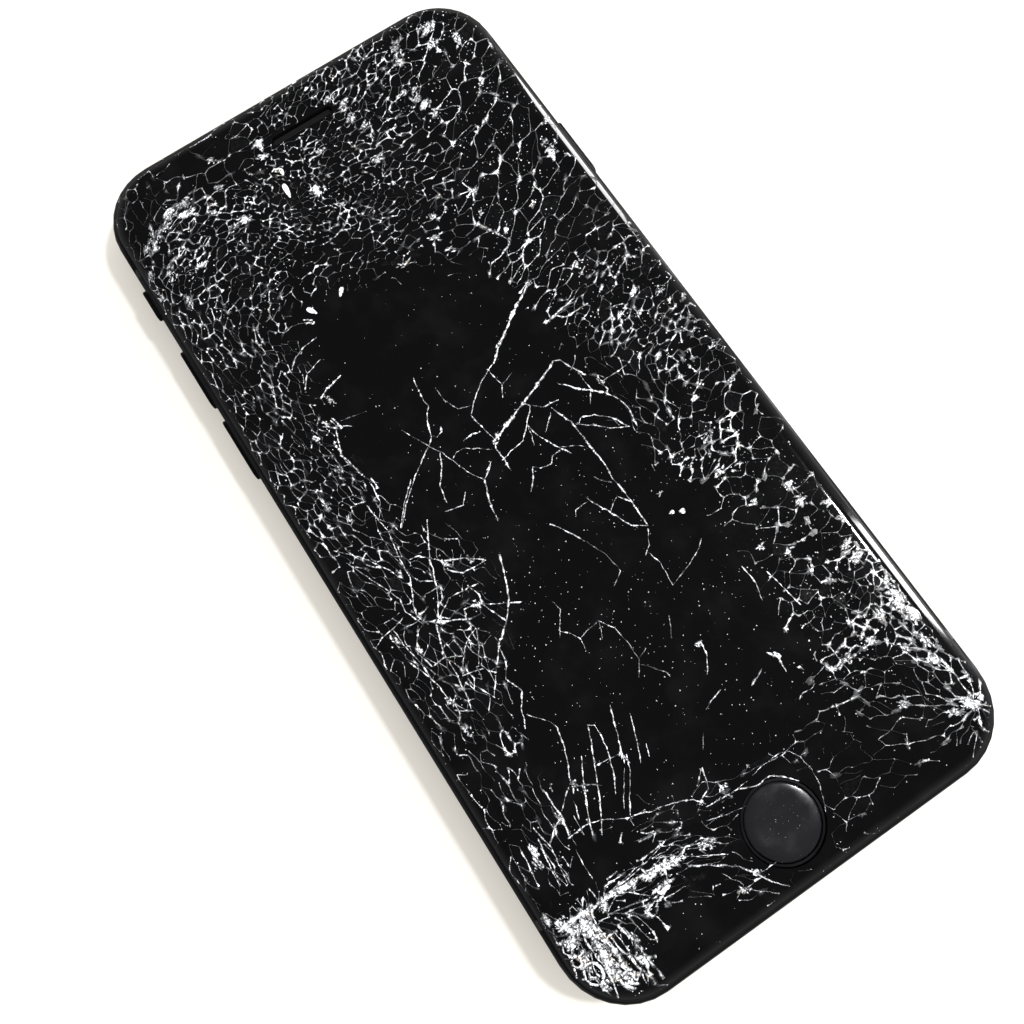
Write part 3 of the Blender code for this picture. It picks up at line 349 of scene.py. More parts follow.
class Pile:
    """Corners, faces and whiteness of many small closed solids that make one piece."""

    def __init__(self):
        self.corners = []
        self.faces = []
        self.whiteness = []

    def add(self, corners, faces, whiteness):
        start = len(self.corners)
        self.corners.extend(corners)
        self.faces.extend(tuple(start + index for index in side) for side in faces)
        self.whiteness.extend(whiteness)

    def piece(self, name, finish):
        mesh = bpy.data.meshes.new(name)
        mesh.from_pydata(self.corners, [], self.faces)
        mesh.attributes.new("whiteness", "FLOAT", "POINT").data.foreach_set("value", self.whiteness)
        return new_piece(name, mesh, finish)


def new_piece(name, mesh, finish):
    """An object at the origin with this mesh and finish."""
    piece = bpy.data.objects.new(name, mesh)
    mesh.materials.clear()
    mesh.materials.append(finish.material)
    bpy.context.scene.collection.objects.link(piece)
    return piece


def mesh_of(name, shape):
    """A new mesh of this shape, which is used up."""
    mesh = bpy.data.meshes.new(name)
    shape.to_mesh(mesh)
    shape.free()
    return mesh


def carry(piece, body):
    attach(piece, body)


def settled(obj, name, finish):
    """The object as its modifiers make it, as a plain piece. The object itself is removed."""
    graph = bpy.context.evaluated_depsgraph_get()
    mesh = bpy.data.meshes.new_from_object(obj.evaluated_get(graph))
    mesh.name = name
    bpy.data.objects.remove(obj, do_unlink=True)
    return new_piece(name, mesh, finish)


def between(start, end, share):
    """The point this share of the way from one point to another."""
    return start[0] + share * (end[0] - start[0]), start[1] + share * (end[1] - start[1])


def beside(x, y, along, across, turn):
    """The point this far along and across a direction from another point."""
    return (
        x + along * math.cos(turn) - across * math.sin(turn),
        y + along * math.sin(turn) + across * math.cos(turn),
    )


def unevenness(x, y, layer, size):
    """Smooth noise from -1 to 1 with waves of this size. Each layer is another noise."""
    return noise.noise(Vector((x, y, layer)) / size)


def edge_distance(x, y):
    """How far a point lies inside the phone's outline."""
    over_x = abs(x) - (half_width - CORNER_RADIUS)
    over_y = abs(y) - (half_length - CORNER_RADIUS)
    outside = math.hypot(max(over_x, 0), max(over_y, 0))
    return CORNER_RADIUS - outside - min(max(over_x, over_y), 0)


def glass_height(x, y):
    """Height of the glass's face, which rolls off over the rounded edge."""
    reach = min(max(SIDE_ROUNDING - edge_distance(x, y), 0), SIDE_ROUNDING)
    return face - SIDE_ROUNDING + math.sqrt(SIDE_ROUNDING**2 - reach**2)


def outline_ring(inset, height):
    """The phone's outline drawn in by inset, at this height."""
    radius = CORNER_RADIUS - inset
    points = []
    for quarter, (side, end) in enumerate(((1, 1), (-1, 1), (-1, -1), (1, -1))):
        for step in range(CORNER_STEPS + 1):
            turn = math.pi / 2 * (quarter + step / CORNER_STEPS)
            x = side * (half_width - CORNER_RADIUS) + radius * math.cos(turn)
            y = end * (half_length - CORNER_RADIUS) + radius * math.sin(turn)
            points.append((x, y, height))
    return points


# Shattered glass

Zone = collections.namedtuple("Zone", "place reach long wide lean line star white keep")

# Where the glass is shattered: pixel, reach, then length and width of the shards in millimetres,
# the direction of their length in the picture, width of a crack and of its stars, whiteness and
# the share of the cracks that show. Without a direction the shards point at the place itself.
ZONES = {
    "top_left_crush": Zone((196, 222), 4.0, 1.4, 1.1, 30, 0.12, 0.56, 0.95, 0.95),
    "top_left_cells": Zone((228, 268), 5.0, 1.45, 1.15, 60, 0.08, 0.48, 0.85, 0.92),
    "top_left_edge": Zone((140, 225), 4.0, 1.9, 1.2, 100, 0.06, 0.22, 0.40, 0.70),
    "top_left_end": Zone((205, 150), 5.0, 3.6, 2.4, 30, 0.06, 0.28, 0.65, 0.75),
    "left_strip_high": Zone((175, 320), 4.5, 2.0, 0.85, -60, 0.07, 0.32, 0.80, 0.9),
    "left_strip": Zone((235, 400), 6.0, 1.9, 0.85, -50, 0.075, 0.32, 0.85, 0.9),
    "left_strip_low": Zone((300, 495), 6.0, 1.6, 0.85, -40, 0.08, 0.34, 0.9, 0.95),
    "left_rays": Zone((375, 575), 6.0, 2.4, 1.05, -35, 0.07, 0.26, 0.9, 0.9),
    "left_star": Zone((425, 610), 3.0, 2.2, 1.7, None, 0.07, 0.26, 0.85, 0.75),
    "left_low": Zone((425, 690), 5.0, 2.0, 0.95, -48, 0.07, 0.26, 0.85, 0.8),
    "left_foot": Zone((470, 770), 5.0, 2.2, 0.95, -58, 0.07, 0.24, 0.75, 0.68),
    "left_heel": Zone((520, 850), 4.5, 2.8, 0.95, -60, 0.06, 0.24, 0.70, 0.80),
    "end_flecks": Zone((300, 110), 6.0, 1.3, 0.9, 60, 0.06, 0.32, 0.9, 0.88),
    "end_middle": Zone((375, 65), 5.0, 1.7, 1.1, 70, 0.07, 0.4, 1.0, 0.9),
    "high_flecks": Zone((300, 195), 6.0, 1.0, 0.8, 0, 0.05, 0.36, 0.85, 0.72),
    "high_middle": Zone((385, 195), 7.0, 1.15, 0.9, 40, 0.05, 0.36, 0.85, 0.75),
    "high_low": Zone((350, 265), 4.5, 1.5, 1.1, 20, 0.05, 0.28, 0.65, 0.5),
    "top_right_end": Zone((440, 55), 4.5, 3.6, 1.9, 72, 0.075, 0.52, 1.0, 0.95),
    "top_right_fan": Zone((490, 125), 5.5, 5.4, 2.5, 72, 0.065, 0.56, 0.95, 1.0),
    "top_right_low": Zone((505, 200), 5.0, 4.8, 2.3, 75, 0.07, 0.6, 1.0, 1.0),
    "top_right_inner": Zone((435, 165), 4.0, 1.6, 1.2, 30, 0.07, 0.30, 0.95, 0.85),
    "fan_focus": Zone((535, 255), 4.0, 3.4, 1.5, 62, 0.08, 0.46, 1.0, 0.95),
    "fan_left": Zone((440, 245), 4.0, 2.2, 1.6, 10, 0.06, 0.30, 0.55, 0.50),
    "right_edge_high": Zone((585, 215), 4.5, 2.6, 1.6, 60, 0.05, 0.32, 0.55, 0.7),
    "right_band": Zone((630, 290), 5.0, 1.7, 1.1, 65, 0.065, 0.44, 0.8, 0.85),
    "right_band_low": Zone((685, 350), 5.0, 1.45, 1.0, 60, 0.065, 0.44, 0.8, 0.85),
    "right_lines": Zone((645, 405), 4.5, 2.6, 1.2, -40, 0.05, 0.22, 0.65, 0.75),
    "right_cells": Zone((705, 435), 4.0, 1.5, 1.2, 60, 0.075, 0.44, 1.0, 0.95),
    "right_edge": Zone((745, 390), 4.0, 2.8, 2.0, 50, 0.05, 0.22, 0.60, 0.80),
    "right_plates": Zone((780, 470), 5.0, 3.0, 2.3, 45, 0.05, 0.46, 0.70, 0.85),
    "right_plates_low": Zone((795, 540), 5.0, 2.5, 1.9, 30, 0.06, 0.46, 0.75, 0.85),
    "right_inner": Zone((735, 520), 4.0, 3.2, 2.2, 20, 0.06, 0.26, 0.80, 0.60),
    "low_right_cells": Zone((850, 595), 4.5, 1.5, 1.2, 60, 0.09, 0.42, 0.95, 0.95),
    "low_right_crush": Zone((893, 600), 4.0, 0.9, 0.7, -50, 0.08, 0.34, 0.9, 0.95),
    "low_right_mesh": Zone((865, 665), 4.5, 2.0, 1.5, 30, 0.07, 0.46, 1.0, 0.95),
    "low_right_edge": Zone((930, 655), 4.0, 1.9, 1.3, -40, 0.08, 0.3, 0.85, 0.95),
    "low_right_burst": Zone((975, 706), 5.0, 2.6, 0.75, None, 0.09, 0.34, 0.90, 0.90),
    "low_right_rays": Zone((890, 735), 5.0, 3.6, 1.5, 5, 0.05, 0.22, 0.65, 0.80),
    "low_right_foot": Zone((845, 745), 4.0, 3.2, 1.5, 35, 0.05, 0.22, 0.55, 0.60),
    "low_left_core": Zone((585, 930), 3.2, 1.9, 0.85, None, 0.2, 0.55, 1.00, 0.95),
    "low_left_splinters": Zone((618, 962), 4.0, 3.2, 1.05, -52, 0.16, 0.46, 0.95, 0.95),
    "low_left_edge": Zone((563, 900), 3.0, 1.4, 0.7, -60, 0.08, 0.30, 0.80, 0.85),
    "low_left_fan": Zone((645, 885), 2.6, 3.0, 0.65, 32, 0.10, 0.32, 0.90, 0.90),
    "low_left_far": Zone((685, 865), 3.5, 2.6, 0.75, 22, 0.07, 0.26, 0.80, 0.7),
    "low_middle": Zone((730, 868), 4.0, 3.4, 1.1, 5, 0.05, 0.20, 0.60, 0.70),
    "home_left": Zone((728, 808), 3.5, 3.2, 0.8, 30, 0.05, 0.18, 0.60, 0.60),
    "home_right": Zone((838, 808), 3.0, 2.6, 1.2, 45, 0.05, 0.22, 0.60, 0.65),
}
# Outlines of the black glass between them, which only long cracks cross
BLACK_PATCHES = (
    (
        (300, 300), (345, 285), (400, 272), (450, 265), (490, 270), (520, 288), (545, 305), (560, 330),
        (585, 375), (615, 415), (650, 450), (680, 482), (715, 507), (738, 535), (752, 570), (775, 600),
        (800, 625), (815, 655), (812, 690), (815, 715), (790, 735), (760, 745), (730, 770), (700, 790),
        (655, 800), (610, 815), (570, 815), (545, 790), (520, 745), (515, 700), (512, 650), (515, 600),
        (500, 560), (470, 545), (440, 535), (415, 520), (385, 500), (360, 475), (340, 445), (318, 400),
        (300, 360), (292, 330),
    ),
    (
        (655, 985), (655, 940), (668, 905), (700, 893), (745, 903), (790, 893), (835, 868), (862, 835),
        (880, 800), (905, 770), (950, 745), (985, 735), (1010, 760), (900, 880), (700, 1010),
    ),
    (
        (556, 906), (566, 893), (574, 878), (566, 858), (566, 842), (578, 832), (604, 834), (628, 842),
        (646, 852), (634, 864), (614, 876), (600, 888), (590, 900), (574, 912),
    ),
)
PATCH_FADE = 3.6 * MM
# Clouds of crushed glass: pixel, radius in millimetres and whiteness
FROSTED = (
    # top left corner
    ((183, 204), 1.3, 0.9), ((170, 216), 1.2, 0.8), ((190, 212), 1.1, 1.0), ((155, 237), 1.6, 0.65),
    ((148, 250), 1.1, 0.5), ((165, 228), 1.0, 0.6), ((212, 212), 0.9, 0.8), ((234, 228), 0.9, 0.8),
    ((246, 220), 1.0, 0.95), ((203, 265), 1.0, 0.8), ((171, 274), 1.0, 0.7), ((150, 275), 0.9, 0.6),
    ((157, 296), 0.9, 0.7), ((190, 301), 0.9, 0.7), ((258, 145), 1.1, 1.0), ((262, 158), 0.7, 0.9),
    ((277, 170), 0.7, 0.9), ((212, 160), 0.8, 0.7), ((219, 188), 0.9, 0.7), ((317, 193), 0.8, 0.9),
    ((321, 151), 0.7, 0.8), ((340, 205), 0.8, 0.7),
    # top end
    ((352, 118), 1.1, 0.7), ((345, 105), 1.2, 0.7), ((365, 125), 0.9, 0.6), ((379, 157), 0.9, 0.8),
    ((328, 100), 1.2, 0.55), ((395, 45), 1.4, 0.75), ((425, 30), 1.5, 0.9), ((432, 45), 1.0, 0.8),
    ((400, 60), 1.0, 0.7), ((415, 95), 1.2, 0.9), ((424, 106), 0.9, 0.9), ((403, 92), 0.9, 0.7),
    ((458, 40), 0.9, 0.9), ((435, 115), 0.8, 0.8),
    # along the upper right edge
    ((482, 82), 0.7, 0.8), ((551, 150), 1.2, 0.85), ((552, 157), 0.8, 0.95), ((545, 142), 0.8, 0.6),
    ((547, 117), 0.8, 0.9), ((506, 229), 0.6, 0.9), ((533, 204), 0.6, 0.9), ((471, 192), 0.6, 0.9),
    ((481, 214), 0.5, 0.8), ((435, 238), 0.8, 0.8), ((405, 263), 0.7, 0.8), ((450, 250), 0.7, 0.8),
    ((432, 216), 0.8, 0.7), ((575, 265), 0.7, 0.8), ((660, 290), 0.6, 0.9), ((634, 292), 0.6, 1.0),
    ((669, 301), 0.5, 0.9), ((602, 288), 0.5, 0.8), ((620, 315), 0.5, 1.0), ((684, 294), 0.5, 0.8),
    # right
    ((700, 300), 0.5, 0.7), ((600, 380), 0.6, 0.9), ((640, 355), 0.5, 0.9), ((712, 345), 0.6, 0.8),
    ((700, 383), 0.6, 0.9), ((731, 380), 0.7, 0.9), ((694, 398), 0.6, 0.8), ((707, 438), 0.6, 0.9),
    ((720, 472), 0.8, 1.0), ((739, 465), 0.6, 0.9), ((753, 502), 0.7, 0.9), ((800, 500), 0.9, 0.8),
    ((788, 484), 0.7, 0.9), ((830, 500), 0.8, 0.8), ((846, 545), 1.0, 0.7), ((856, 558), 1.0, 0.7),
    ((760, 547), 0.6, 0.8), ((789, 551), 0.6, 0.8),
    # lower right corner
    ((890, 580), 1.3, 0.7), ((900, 600), 1.4, 0.8), ((912, 613), 1.0, 1.0), ((880, 615), 1.2, 0.6),
    ((925, 640), 1.0, 0.8), ((935, 660), 1.0, 0.8), ((905, 648), 0.9, 0.7), ((870, 640), 0.8, 0.8),
    ((848, 660), 0.8, 0.8), ((835, 668), 0.7, 0.8), ((970, 704), 1.3, 1.0), ((980, 700), 0.9, 1.0),
    ((955, 712), 0.9, 0.8), ((905, 705), 0.8, 0.7),
    # left
    ((308, 322), 0.6, 0.8), ((311, 309), 0.4, 1.0), ((330, 400), 0.8, 0.8), ((328, 425), 0.9, 0.8),
    ((318, 440), 0.8, 0.7), ((338, 470), 0.7, 0.8), ((350, 520), 0.7, 0.8), ((325, 505), 0.8, 0.7),
    ((400, 575), 0.7, 0.9), ((440, 622), 0.7, 1.0), ((420, 650), 0.6, 0.9), ((445, 563), 0.6, 0.9),
    ((470, 560), 0.6, 0.8), ((480, 604), 0.6, 0.9), ((395, 640), 0.7, 0.7), ((450, 700), 0.7, 0.8),
    ((466, 730), 0.7, 0.8),
    # lower left corner
    ((533, 850), 0.9, 1.0), ((538, 862), 0.8, 0.9), ((560, 818), 0.6, 1.0), ((575, 784), 0.6, 1.0),
    ((584, 787), 0.5, 1.0), ((622, 756), 0.5, 1.0), ((563, 925), 1.3, 0.8), ((572, 942), 1.4, 1.0),
    ((582, 930), 1.2, 1.0), ((590, 915), 1.0, 1.0), ((602, 905), 0.9, 1.0), ((600, 950), 1.2, 0.9),
    ((612, 962), 1.2, 0.9), ((585, 960), 1.1, 0.8), ((625, 975), 1.1, 0.8), ((606, 985), 1.0, 0.7),
    ((635, 940), 1.0, 0.7), ((640, 958), 0.9, 0.8), ((615, 893), 0.8, 1.0), ((632, 885), 0.9, 0.9),
    ((648, 876), 0.9, 1.0), ((662, 868), 1.0, 1.0), ((670, 863), 0.8, 1.0), ((680, 858), 0.7, 1.0),
    ((664, 885), 0.9, 0.8), ((652, 905), 0.8, 0.8), ((705, 845), 1.0, 0.6), ((744, 890), 0.8, 0.8),
    ((757, 872), 0.6, 0.8),
    # in the middle
    ((499, 345), 0.5, 0.8), ((529, 283), 0.6, 1.0), ((494, 442), 0.5, 0.9), ((701, 802), 0.5, 0.9),
    ((722, 787), 0.5, 1.0), ((700, 644), 0.5, 0.9), ((672, 512), 0.3, 1.0), ((682, 511), 0.4, 1.0),
    ((660, 493), 0.4, 0.7),
)
# How the zones mix, and the glass between them
ZONE_WEIGHT = 6.0
ZONE_FALLOFF = 0.9
PLAIN_WEIGHT = 0.03
PLAIN_SHARD = 2.4 * MM
PLAIN_LINE = 0.05 * MM
PLAIN_STAR = 0.15 * MM
PLAIN_WHITE = 0.3
PLAIN_KEEP = 0.4
# Shards
SHARD_SCALE = 0.86
SHARD_SEED = 7
SHARD_TRIES = 120000
NEIGHBOURS = 48  # nearest seeds that may bound a shard
GROUP_SIZE = 7  # shards in a larger shard
# Cracks and where they may not run
PAINTED_GLINT_TURN = math.radians(35)  # direction of the cracks painted whitest, a painted highlight
RIM = 1.2 * MM
HOLE_RIM = 0.1 * MM
SOUND_RIM = 2.7 * MM  # along the lower right side, between these places
SOUND_RIM_ENDS = (-56 * MM, -21 * MM)
CRACK_LOW = 0.024 * MM
CRACK_HIGH = 0.044 * MM
WARP = 0.5 * MM
WARP_SIZE = 1.7 * MM
NOISE_SEED = 7  # keeps the bends of the cracks the same in every run
SPARK_SIZE = 0.9 * MM
CRUMB = 0.45 * MM
HAZE_LOW = 0.0245 * MM
HAZE_HIGH = 0.0275 * MM
CLOUD_SIZE = 4.5 * MM
CREST_SIZE = 0.4 * MM
FEWEST_STEPS = 2
MOST_STEPS = 6
MINOR_STRENGTH = 0.75  # of the cracks inside a larger shard
MINOR_GAPS = 0.12  # share of them that is missing
HAIRLINE_SHARE = 0.18  # of the shards
HAIRLINE_STRENGTH = 0.4
THINNEST = 0.03 * MM
LINE_SCALE = 2.5
STAR_SCALE = 2.1
SIDE_WHITE = 0.04  # whiteness along the sides of a crack, as a share of its middle
SHORTEST_SIDE = 0.12 * MM
UPPER_THIRD = 0.33  # where the upper web starts, as a share of the half length
# Crushed glass
BURST_STEPS = 11
BURST_RISE = 0.014 * MM
BURST_SHARE = 0.7
HAZE_SHARE = 0.42
HAZE_RADIUS = 0.75 * MM
FROST_CLOUDS = 6
FROST_SPARKS = 15
# Loosened shards
PLATE_SHARE = 0.35
PLATE_SIZE = 0.86
PLATE_TILT = 1.3  # degrees
PLATE_LIFT = 0.016 * MM
PLATE_LEAST = 0.004 * MM
PLATE_ROOT = 0.02 * MM


def picture_turn(pixel, lean):
    """The direction on the glass that leans by this many degrees in the picture."""
    turn = math.radians(lean)
    start = on_glass(pixel)
    tip = on_glass((pixel[0] + 10 * math.cos(turn), pixel[1] - 10 * math.sin(turn)))
    return math.atan2(tip[1] - start[1], tip[0] - start[0])


class CrackField:
    """Size and direction of the shards, and strength of the cracks, anywhere on the glass."""

    def __init__(self, zones):
        self.zones = list(zones)
        self.centres = np.array([on_glass(zone.place) for zone in self.zones])
        self.reaches = np.array([zone.reach * MM for zone in self.zones])
        self.leans = [
            None if zone.lean is None else picture_turn(zone.place, zone.lean) for zone in self.zones
        ]

    def weights(self, points):
        away = np.linalg.norm(points[:, None] - self.centres, axis=2) / self.reaches
        return ZONE_WEIGHT * np.exp(-ZONE_FALLOFF * away * away)

    def mean(self, weights, values, plain):
        total = weights.sum(axis=1) + PLAIN_WEIGHT
        return (weights @ np.array(values) + PLAIN_WEIGHT * plain) / total

    def sizes(self, points):
        """Length and width of the shards at these points, and the direction of their length."""
        weights = self.weights(points)
        plain = math.log(PLAIN_SHARD)
        longs = [math.log(zone.long * MM) for zone in self.zones]
        wides = [math.log(zone.wide * MM) for zone in self.zones]
        long = SHARD_SCALE * np.exp(self.mean(weights, longs, plain))
        wide = SHARD_SCALE * np.exp(self.mean(weights, wides, plain))
        cosines = np.zeros(len(points))
        sines = np.zeros(len(points))
        for index, lean in enumerate(self.leans):
            away = points - self.centres[index]
            turn = np.arctan2(away[:, 1], away[:, 0]) if lean is None else lean
            cosines += weights[:, index] * np.cos(2 * turn)
            sines += weights[:, index] * np.sin(2 * turn)
        return long, wide, np.arctan2(sines, cosines) / 2

    def strengths(self, points):
        """Width of a crack and of its stars, whiteness, and share of the cracks that show."""
        weights = self.weights(points)
        return [
            self.mean(weights, [z.line * MM * LINE_SCALE for z in self.zones], PLAIN_LINE),
            self.mean(weights, [z.star * MM * STAR_SCALE for z in self.zones], PLAIN_STAR),
            self.mean(weights, [z.white for z in self.zones], PLAIN_WHITE),
            self.mean(weights, [z.keep for z in self.zones], PLAIN_KEEP) * clear_of_patches(points),
        ]


def patch_distance(points, pixels):
    """How far points lie outside a patch, negative inside it."""
    corners = np.array([on_glass(pixel) for pixel in pixels])
    inside = np.zeros(len(points), dtype=bool)
    nearest = np.full(len(points), np.inf)
    for start, end in zip(corners, np.roll(corners, -1, axis=0)):
        run = end - start
        away = points - start
        share = np.clip(away @ run / (run @ run), 0, 1)
        nearest = np.minimum(nearest, np.linalg.norm(away - share[:, None] * run, axis=1))
        spans = (start[1] > points[:, 1]) != (end[1] > points[:, 1])
        height = run[1] or 1
        inside ^= spans & (points[:, 0] < start[0] + (points[:, 1] - start[1]) * run[0] / height)
    return np.where(inside, -nearest, nearest)


def clear_of_patches(points):
    """0 in the black patches, rising to 1 outside them."""
    away = np.min([patch_distance(points, pixels) for pixels in BLACK_PATCHES], axis=0)
    share = np.clip(away / PATCH_FADE + 0.5, 0, 1)
    return share * share * (3 - 2 * share)


def shard_seeds(field):
    """Points scattered over the glass, as far apart as the shards there are long and wide."""
    draw = np.random.default_rng(SHARD_SEED)
    tries = draw.uniform((-half_width, -half_length), (half_width, half_length), (SHARD_TRIES, 2))
    long, wide, turn = field.sizes(tries)
    cosines = np.cos(turn)
    sines = np.sin(turn)
    seeds = np.empty((SHARD_TRIES, 2))
    count = 0
    for index, point in enumerate(tries):
        away = seeds[:count] - point
        along = (away[:, 0] * cosines[index] + away[:, 1] * sines[index]) / long[index]
        across = (away[:, 1] * cosines[index] - away[:, 0] * sines[index]) / wide[index]
        if count == 0 or (along * along + across * across).min() > 1:
            seeds[count] = point
            count += 1
    return seeds[:count]


def clip(polygon, point, normal, neighbour):
    """Cut a convex polygon by a line. Each corner also names the neighbour across its next side."""
    heights = [(x - point[0]) * normal[0] + (y - point[1]) * normal[1] for x, y, _ in polygon]
    kept = []
    for index, (x, y, across) in enumerate(polygon):
        following = (index + 1) % len(polygon)
        inside = heights[index] <= 0
        if inside:
            kept.append((x, y, across))
        if inside != (heights[following] <= 0):
            share = heights[index] / (heights[index] - heights[following])
            owner = neighbour if inside else across
            kept.append((*between((x, y), polygon[following], share), owner))
    return kept


def shard_cells(field, seeds):
    """The cell of each seed, nearer to it than to any other, and the larger shard it is part of.

    Distances are measured in lengths and widths of the shards there, so the cells are as drawn
    out as the shards.
    """
    square = [(x * half_width, y * half_length, -1) for x, y in ((1, 1), (-1, 1), (-1, -1), (1, -1))]
    long, wide, turn = field.sizes(seeds)
    cosines = np.cos(turn)
    sines = np.sin(turn)
    cells = []
    groups = []
    for centre, seed in enumerate(seeds):
        axes = np.array(((cosines[centre], sines[centre]), (-sines[centre], cosines[centre])))
        stretch = axes / np.array(((long[centre],), (wide[centre],)))
        away = (seeds - seed) @ stretch.T
        distances = np.hypot(away[:, 0], away[:, 1])
        groups.append(int(np.argmin(distances[: len(seeds) // GROUP_SIZE])))
        nearest = np.argpartition(distances, NEIGHBOURS)[: NEIGHBOURS + 1]
        polygon = square
        for index in nearest[np.argsort(distances[nearest])][1:]:
            normal = stretch.T @ away[index]
            polygon = clip(polygon, (seed + seeds[index]) / 2, normal, int(index))
            corners = (np.array([corner[:2] for corner in polygon]) - seed) @ stretch.T
            if distances[index] > 2 * np.hypot(corners[:, 0], corners[:, 1]).max():
                break
        cells.append(polygon)
    return cells, groups


def warped(x, y):
    """A point moved a little, so that straight cracks bend."""
    shift = noise.noise_vector(Vector((x, y, 0.0)) / WARP_SIZE)
    return x + WARP * shift.x, y + WARP * shift.y


def on_face(x, y):
    """Whether a crack may run here: clear of the rim, its sound part and the two holes."""
    if edge_distance(x, y) < RIM:
        return False
    if half_width - x < SOUND_RIM and SOUND_RIM_ENDS[0] < y < SOUND_RIM_ENDS[1]:
        return False
    if math.dist((x, y), home_centre[:2]) < home_hole + HOLE_RIM:
        return False
    return abs(x - slot_centre.x) > slot_half.x or abs(y - slot_centre.y) > slot_half.y


def ribbon(pile, path, widths, whiteness):
    """A crack along a path: a low ridge, white along its crest, its sides fading into the glass."""
    corners = []
    whites = []
    for index, (x, y) in enumerate(path):
        before = path[max(index - 1, 0)]
        after = path[min(index + 1, len(path) - 1)]
        run_x, run_y = after[0] - before[0], after[1] - before[1]
        length = math.hypot(run_x, run_y) or 1
        side_x, side_y = -run_y / length * widths[index] / 2, run_x / length * widths[index] / 2
        lean = 0.5 * unevenness(x, y, 3.0, CREST_SIZE)
        low = glass_height(x, y) + CRACK_LOW
        corners.append((x + side_x, y + side_y, low))
        corners.append((x - side_x, y - side_y, low))
        corners.append((x + lean * side_x, y + lean * side_y, low - CRACK_LOW + CRACK_HIGH))
        whites.extend((SIDE_WHITE * whiteness[index], SIDE_WHITE * whiteness[index], whiteness[index]))
    sides = [(0, 1, 2)]
    for index in range(0, 3 * (len(path) - 1), 3):
        sides.append((index, index + 3, index + 4, index + 1))
        sides.append((index + 1, index + 4, index + 5, index + 2))
        sides.append((index + 2, index + 5, index + 3, index))
    last = 3 * (len(path) - 1)
    sides.append((last, last + 2, last + 1))
    pile.add(corners, sides, whites)


def burst(pile, draw, x, y, radius, turn, white, lift=CRACK_LOW, drawn_out=1.5):
    """A burst of crushed glass: a low cone with a ragged rim, white at its tip."""
    corners = []
    for step in range(BURST_STEPS):
        angle = math.tau * step / BURST_STEPS
        reach = radius * draw.uniform(0.3, 1.0)
        along, across = drawn_out * reach * math.cos(angle), reach * math.sin(angle) / drawn_out
        rim_x, rim_y = beside(x, y, along, across, turn)
        if not on_face(rim_x, rim_y):
            return
        corners.append((rim_x, rim_y, glass_height(rim_x, rim_y) + lift))
    middle = glass_height(x, y) + lift
    corners.append((x, y, middle + BURST_RISE))
    corners.append((x, y, middle - BURST_RISE))
    sides = []
    for step in range(BURST_STEPS):
        after = (step + 1) % BURST_STEPS
        sides.append((step, after, BURST_STEPS))
        sides.append((after, step, BURST_STEPS + 1))
    pile.add(corners, sides, [SIDE_WHITE * white] * BURST_STEPS + [white, white])


def make_frost(field):
    """Clouds of crushed glass: faint wide bursts under the cracks, small bright ones on them."""
    draw = random.Random(SHARD_SEED + 3)
    pile = Pile()
    centres = np.array([on_glass(pixel) for pixel, _, _ in FROSTED])
    turns = field.sizes(centres)[2]
    for (_, size, white), centre, turn in zip(FROSTED, centres, turns):
        radius = size * MM
        sparks = round(FROST_SPARKS * size * size)
        for number in range(FROST_CLOUDS + sparks):
            along = draw.gauss(0, 0.55) * radius
            across = draw.gauss(0, 0.3) * radius
            x, y = beside(*centre, along, across, turn)
            lean = turn + draw.gauss(0, 0.5)
            if number < FROST_CLOUDS:
                lift = draw.uniform(HAZE_LOW, HAZE_HIGH)
                burst(pile, draw, x, y, radius * draw.uniform(0.35, 0.8), lean, 0.75 * white, lift)
            else:
                burst(pile, draw, x, y, draw.uniform(0.08, 0.34) * MM, lean, white, drawn_out=1.7)
    carry(pile.piece("crushed_clouds", broken_edges), "phone")


def web_sides(cells, groups):
    """Each side between two shards, and hairlines that split some of the shards."""
    draw = random.Random(SHARD_SEED)
    sides = []
    for index, polygon in enumerate(cells):
        count = len(polygon)
        for corner, (x, y, across) in enumerate(polygon):
            if across > index:
                strength = 1.0 if groups[across] != groups[index] else MINOR_STRENGTH
                if strength == 1.0 or draw.random() > MINOR_GAPS:
                    sides.append(((x, y), polygon[(corner + 1) % count][:2], strength))
        if draw.random() < HAIRLINE_SHARE:
            first = draw.randrange(count)
            second = (first + count // 2) % count
            far = between(polygon[second], polygon[(second + 1) % count], draw.uniform(0.2, 0.8))
            sides.append((polygon[first][:2], far, HAIRLINE_STRENGTH))
    return sides


